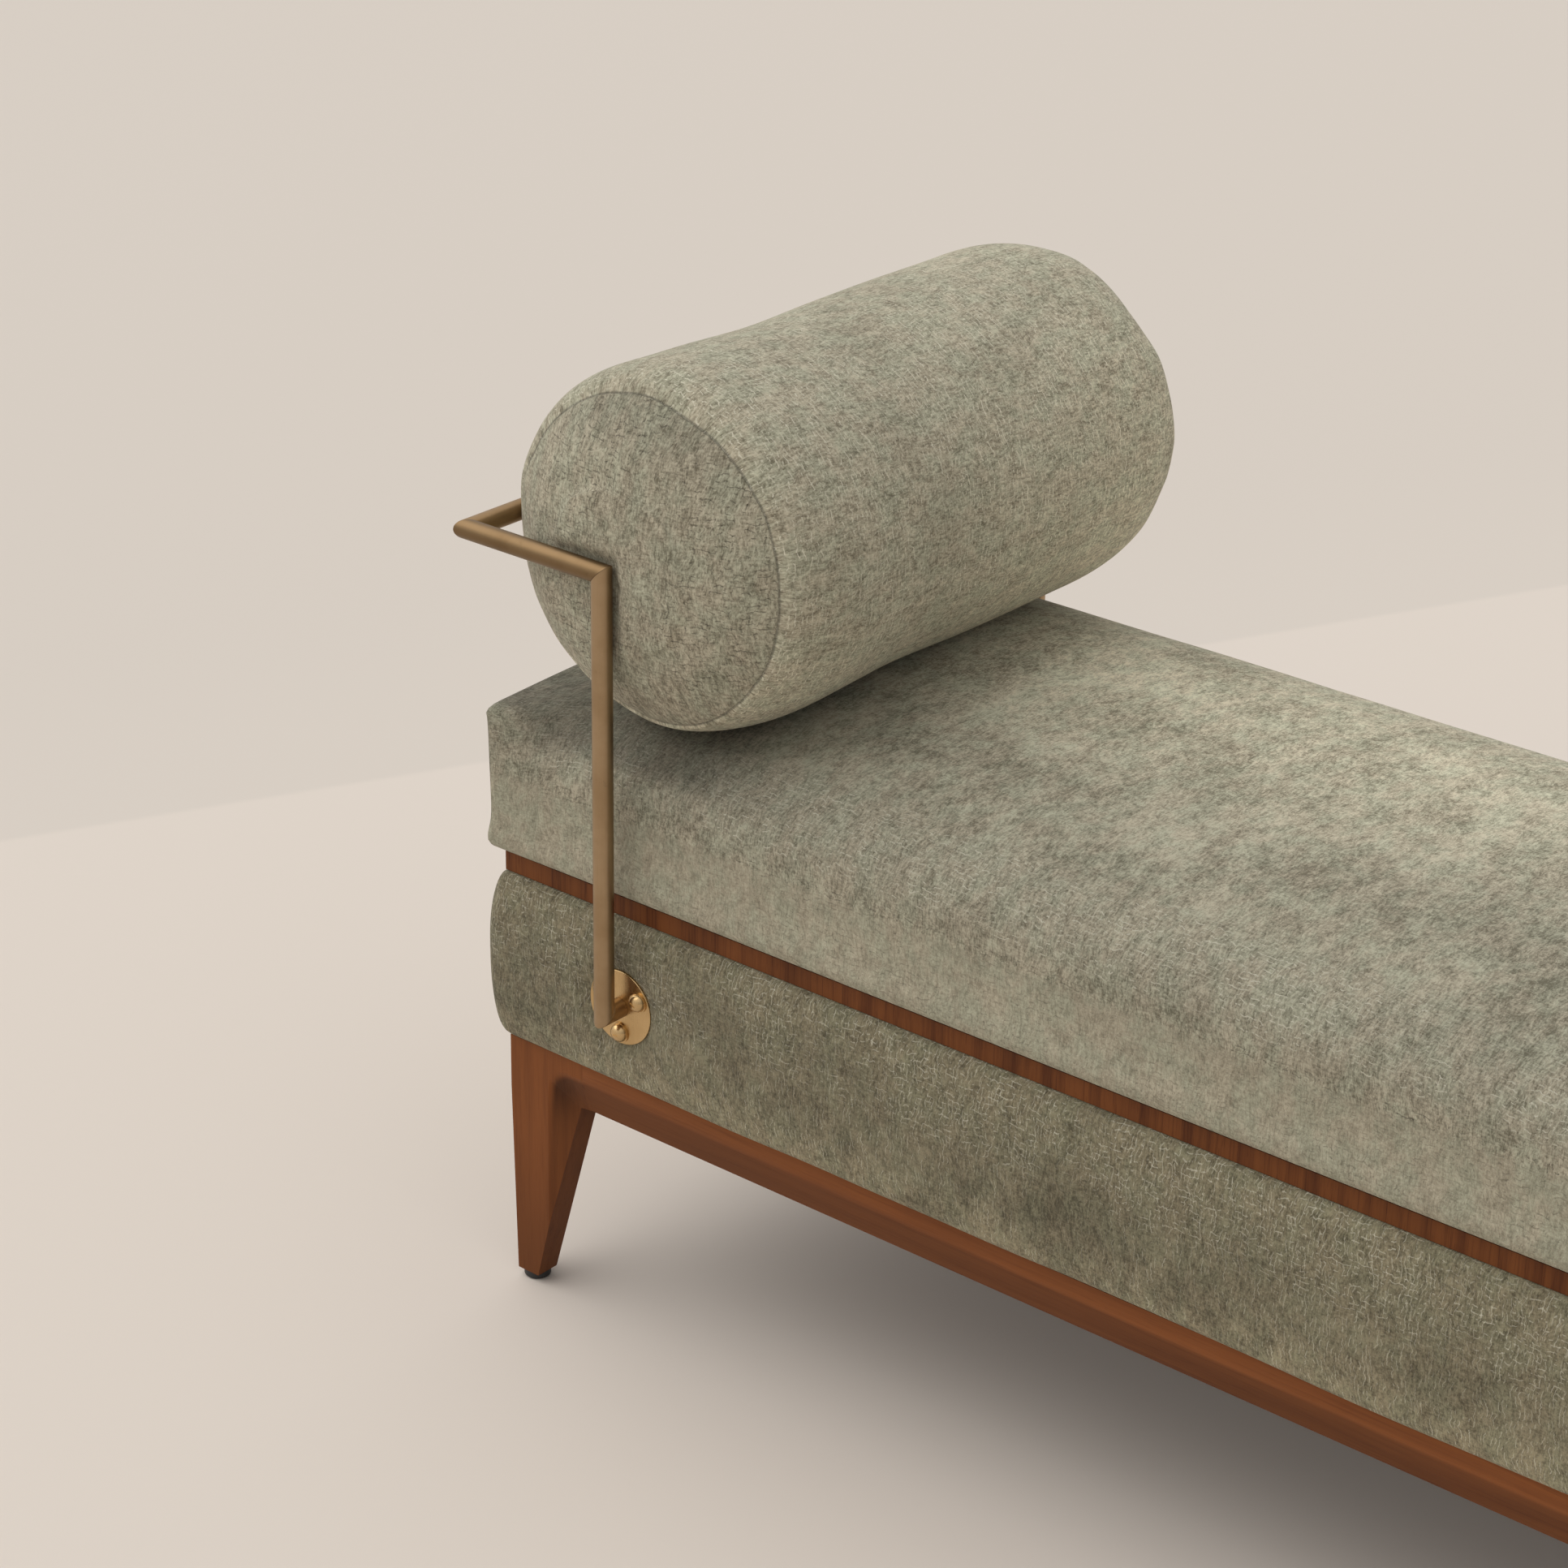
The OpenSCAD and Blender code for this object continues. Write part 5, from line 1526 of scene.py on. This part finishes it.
def lay_floor(scene):
    """A wide floor that takes the wall's colour beyond the wall's foot."""
    bpy.ops.object.select_all(action="DESELECT")
    bpy.ops.mesh.primitive_plane_add(size=FLOOR_WIDE, location=(0, 0, 0))
    floor = bpy.context.object
    floor.name = "studio_floor"
    p = Paint("studio_floor")
    place = p.place()
    x, y = p.part(place, 0), p.part(place, 1)
    beyond = (x - WALL_FOOT[0]) * WALL_WAY[0] + (y - WALL_FOOT[1]) * WALL_WAY[1]
    wall = p.step(beyond, -0.004, 0.010)
    tone = 1.0 - p.step(beyond, 0.0, 0.5) * 0.02
    stage = scene.daybed_stage
    colour = p.scaled(p.blend(wall, tuple(stage.floor), tuple(stage.wall)), tone)
    floor.data.materials.append(p.surface(Base_Color=colour, Roughness=0.85))


def light_room(scene):
    """Even light that is stronger from above and the left, and one soft lamp.
    Mirrored rays see a room that is light on that side and dim on the other."""
    stage = scene.daybed_stage
    world = bpy.data.worlds.new("studio")
    scene.world = world
    world.use_nodes = True
    w = Paint("studio", world.node_tree)
    way = w.node("ShaderNodeTexCoord", out="Generated")
    left = w.node("ShaderNodeVectorMath", {0: way, 1: SKY_WAY}, out="Value", operation="DOT_PRODUCT")
    camera, glossy, through = [
        w.node("ShaderNodeLightPath", out=ray)
        for ray in ("Is Camera Ray", "Is Glossy Ray", "Is Transmission Ray")
    ]
    seen = w.math("MINIMUM", camera + glossy + through, 1.0)
    mirrored = w.math("MAXIMUM", left * 0.75 + 0.50, 0.12)
    shown = camera * SEEN_ROOM + (1 - camera) * mirrored
    strength = (1 - seen) * (stage.fill * (left * 0.45 + 1)) + seen * shown
    background = w.node("ShaderNodeBackground", {"Color": (1.0, 0.985, 0.965, 1), "Strength": strength})
    w.node("ShaderNodeOutputWorld", {0: background})

    key = bpy.data.lights.new("key_lamp", "SUN")
    key.energy, key.color, key.angle = stage.key, (1.0, 0.985, 0.96), math.radians(KEY_SPREAD)
    lamp = linked("key_lamp", key)
    lamp.rotation_euler = Vector(KEY_WAY).to_track_quat("Z", "Y").to_euler()


def place_camera(scene):
    """The camera, at the front and a little above the bed."""
    data = bpy.data.cameras.new("camera")
    data.lens, data.sensor_width, data.clip_end = CAMERA_LENS, 36.0, 200
    camera = linked("camera", data)
    right, up = Vector(CAMERA_RIGHT), Vector(CAMERA_UP)
    turn = Matrix((right, up, right.cross(up))).transposed()
    camera.matrix_world = Matrix.Translation(CAMERA_PLACE) @ turn.to_4x4()
    scene.camera = camera


# ---- Operators ----


class DAYBED_OT_wood(bpy.types.Operator):
    """Shapes the legs, the rails and the wood band"""

    bl_idname = "daybed.wood"
    bl_label = "Wood"

    def execute(self, context):
        make_legs()
        make_rails()
        make_band()
        return {"FINISHED"}


class DAYBED_OT_brass(bpy.types.Operator):
    """Shapes the brass rail, its plates and their screws"""

    bl_idname = "daybed.brass"
    bl_label = "Brass rail"

    def execute(self, context):
        make_tubes()
        make_plates()
        make_screws()
        return {"FINISHED"}


class DAYBED_OT_small_parts(bpy.types.Operator):
    """Shapes the glides, and finishes the box, deck, bolts and lining"""

    bl_idname = "daybed.small_parts"
    bl_label = "Small parts"

    def execute(self, context):
        make_glides()
        paint_hidden()
        return {"FINISHED"}


class DAYBED_OT_base(bpy.types.Operator):
    """Upholsters the base box"""

    bl_idname = "daybed.base"
    bl_label = "Base upholstery"

    def execute(self, context):
        base = base_shell()
        finish_padding(base, context.scene.daybed_cloth.slim, under_wood=True)
        sides = ("front", "back", "left", "right")
        nodes = ["base_cover_" + s for s in sides] + ["base_pad_" + s for s in sides]
        dress(base, finishes()["cloth_base"], "sage_chenille", "frame", *nodes)
        return {"FINISHED"}


class DAYBED_OT_mattress(bpy.types.Operator):
    """Makes the mattress and its zip"""

    bl_idname = "daybed.mattress"
    bl_label = "Mattress"

    def execute(self, context):
        cloth = context.scene.daybed_cloth
        mattress = mattress_shell(cloth)
        finish_padding(mattress, cloth.slim)
        dress(mattress, finishes()["cloth"], "sage_chenille", "mattress", "mattress_cover", "mattress_core")
        low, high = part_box("mattress_zip")
        z = (low.z + high.z) / 2
        start, end = (low.x, high.y, z), (high.x, high.y, z)
        tape = zip_strip("mattress_zip_tape", mattress, start, end, 120, (0, 1, 0))
        dress(tape, zip_finish(), "black_cloth", "mattress", "mattress_zip")
        slider = zip_slider("mattress_zip_slider", "mattress_zip_pull", 0)
        dress(slider, finishes()["bright"], "brass", "mattress_zip_pull", "mattress_zip_pull")
        return {"FINISHED"}


class DAYBED_OT_bolster(bpy.types.Operator):
    """Makes the bolster and its zip"""

    bl_idname = "daybed.bolster"
    bl_label = "Bolster"

    def execute(self, context):
        cloth = context.scene.daybed_cloth
        bolster = bolster_shell(cloth)
        finish_padding(bolster, cloth.slim / 3)
        dress(bolster, finishes()["cloth"], "sage_chenille", "bolster", "bolster_cover", "bolster_core")
        low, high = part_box("bolster_zip")
        body_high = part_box("bolster_cover")[1]
        centre = Vector((body_high.x - BOLSTER_R, 0, body_high.z - BOLSTER_R))
        middle = Vector(((low.x + high.x) / 2, 0, (low.z + high.z) / 2))
        out = (middle - centre).normalized()
        start, end = middle + Vector((0, low.y, 0)), middle + Vector((0, high.y, 0))
        tape = zip_strip("bolster_zip_tape", bolster, start, end, 40, out)
        dress(tape, zip_finish(), "black_cloth", "bolster", "bolster_zip")
        slider = copy_of("bolster_zip_pull", "bolster_zip_slider")
        soften(slider, 0.5 * MM, 30)
        dress(slider, finishes()["bright"], "brass", "bolster_zip_pull", "bolster_zip_pull")
        return {"FINISHED"}


class DAYBED_OT_stage(bpy.types.Operator):
    """Lays the floor, and sets the lamps and the camera"""

    bl_idname = "daybed.stage"
    bl_label = "Stage"

    def execute(self, context):
        lay_floor(context.scene)
        light_room(context.scene)
        place_camera(context.scene)
        context.scene.view_settings.view_transform = "Standard"
        return {"FINISHED"}


class DAYBED_PT_panel(bpy.types.Panel):
    """The daybed's pieces, sizes and colours"""

    bl_idname = "DAYBED_PT_panel"
    bl_label = "Daybed"
    bl_space_type = "VIEW_3D"
    bl_region_type = "UI"
    bl_category = "Daybed"

    def draw(self, context):
        """Lists the settings, and then the pieces."""
        for settings in GROUPS:
            group = getattr(context.scene, settings)
            for name in group.bl_rna.properties.keys():
                if name not in ("rna_type", "name"):
                    self.layout.prop(group, name)
        for operator in OPERATORS:
            self.layout.operator(operator.bl_idname)


GROUPS = {
    "daybed_wood": DaybedWood, "daybed_metal": DaybedMetal,
    "daybed_cloth": DaybedCloth, "daybed_stage": DaybedStage,
}
OPERATORS = [
    DAYBED_OT_stage, DAYBED_OT_wood, DAYBED_OT_brass, DAYBED_OT_small_parts,
    DAYBED_OT_base, DAYBED_OT_mattress, DAYBED_OT_bolster,
]


def register():
    """Makes the settings, the operators and the panel known."""
    for name, group in GROUPS.items():
        bpy.utils.register_class(group)
        setattr(bpy.types.Scene, name, bpy.props.PointerProperty(type=group))
    for item in OPERATORS + [DAYBED_PT_panel]:
        bpy.utils.register_class(item)


def unregister():
    """Takes them out again."""
    for item in reversed(OPERATORS + [DAYBED_PT_panel]):
        bpy.utils.unregister_class(item)
    for name, group in reversed(list(GROUPS.items())):
        delattr(bpy.types.Scene, name)
        bpy.utils.unregister_class(group)


def main():
    """Builds the daybed on its stage."""
    register()
    for operator in OPERATORS:
        group, name = operator.bl_idname.split(".")
        getattr(getattr(bpy.ops, group), name)()


if __name__ == "__main__":
    main()
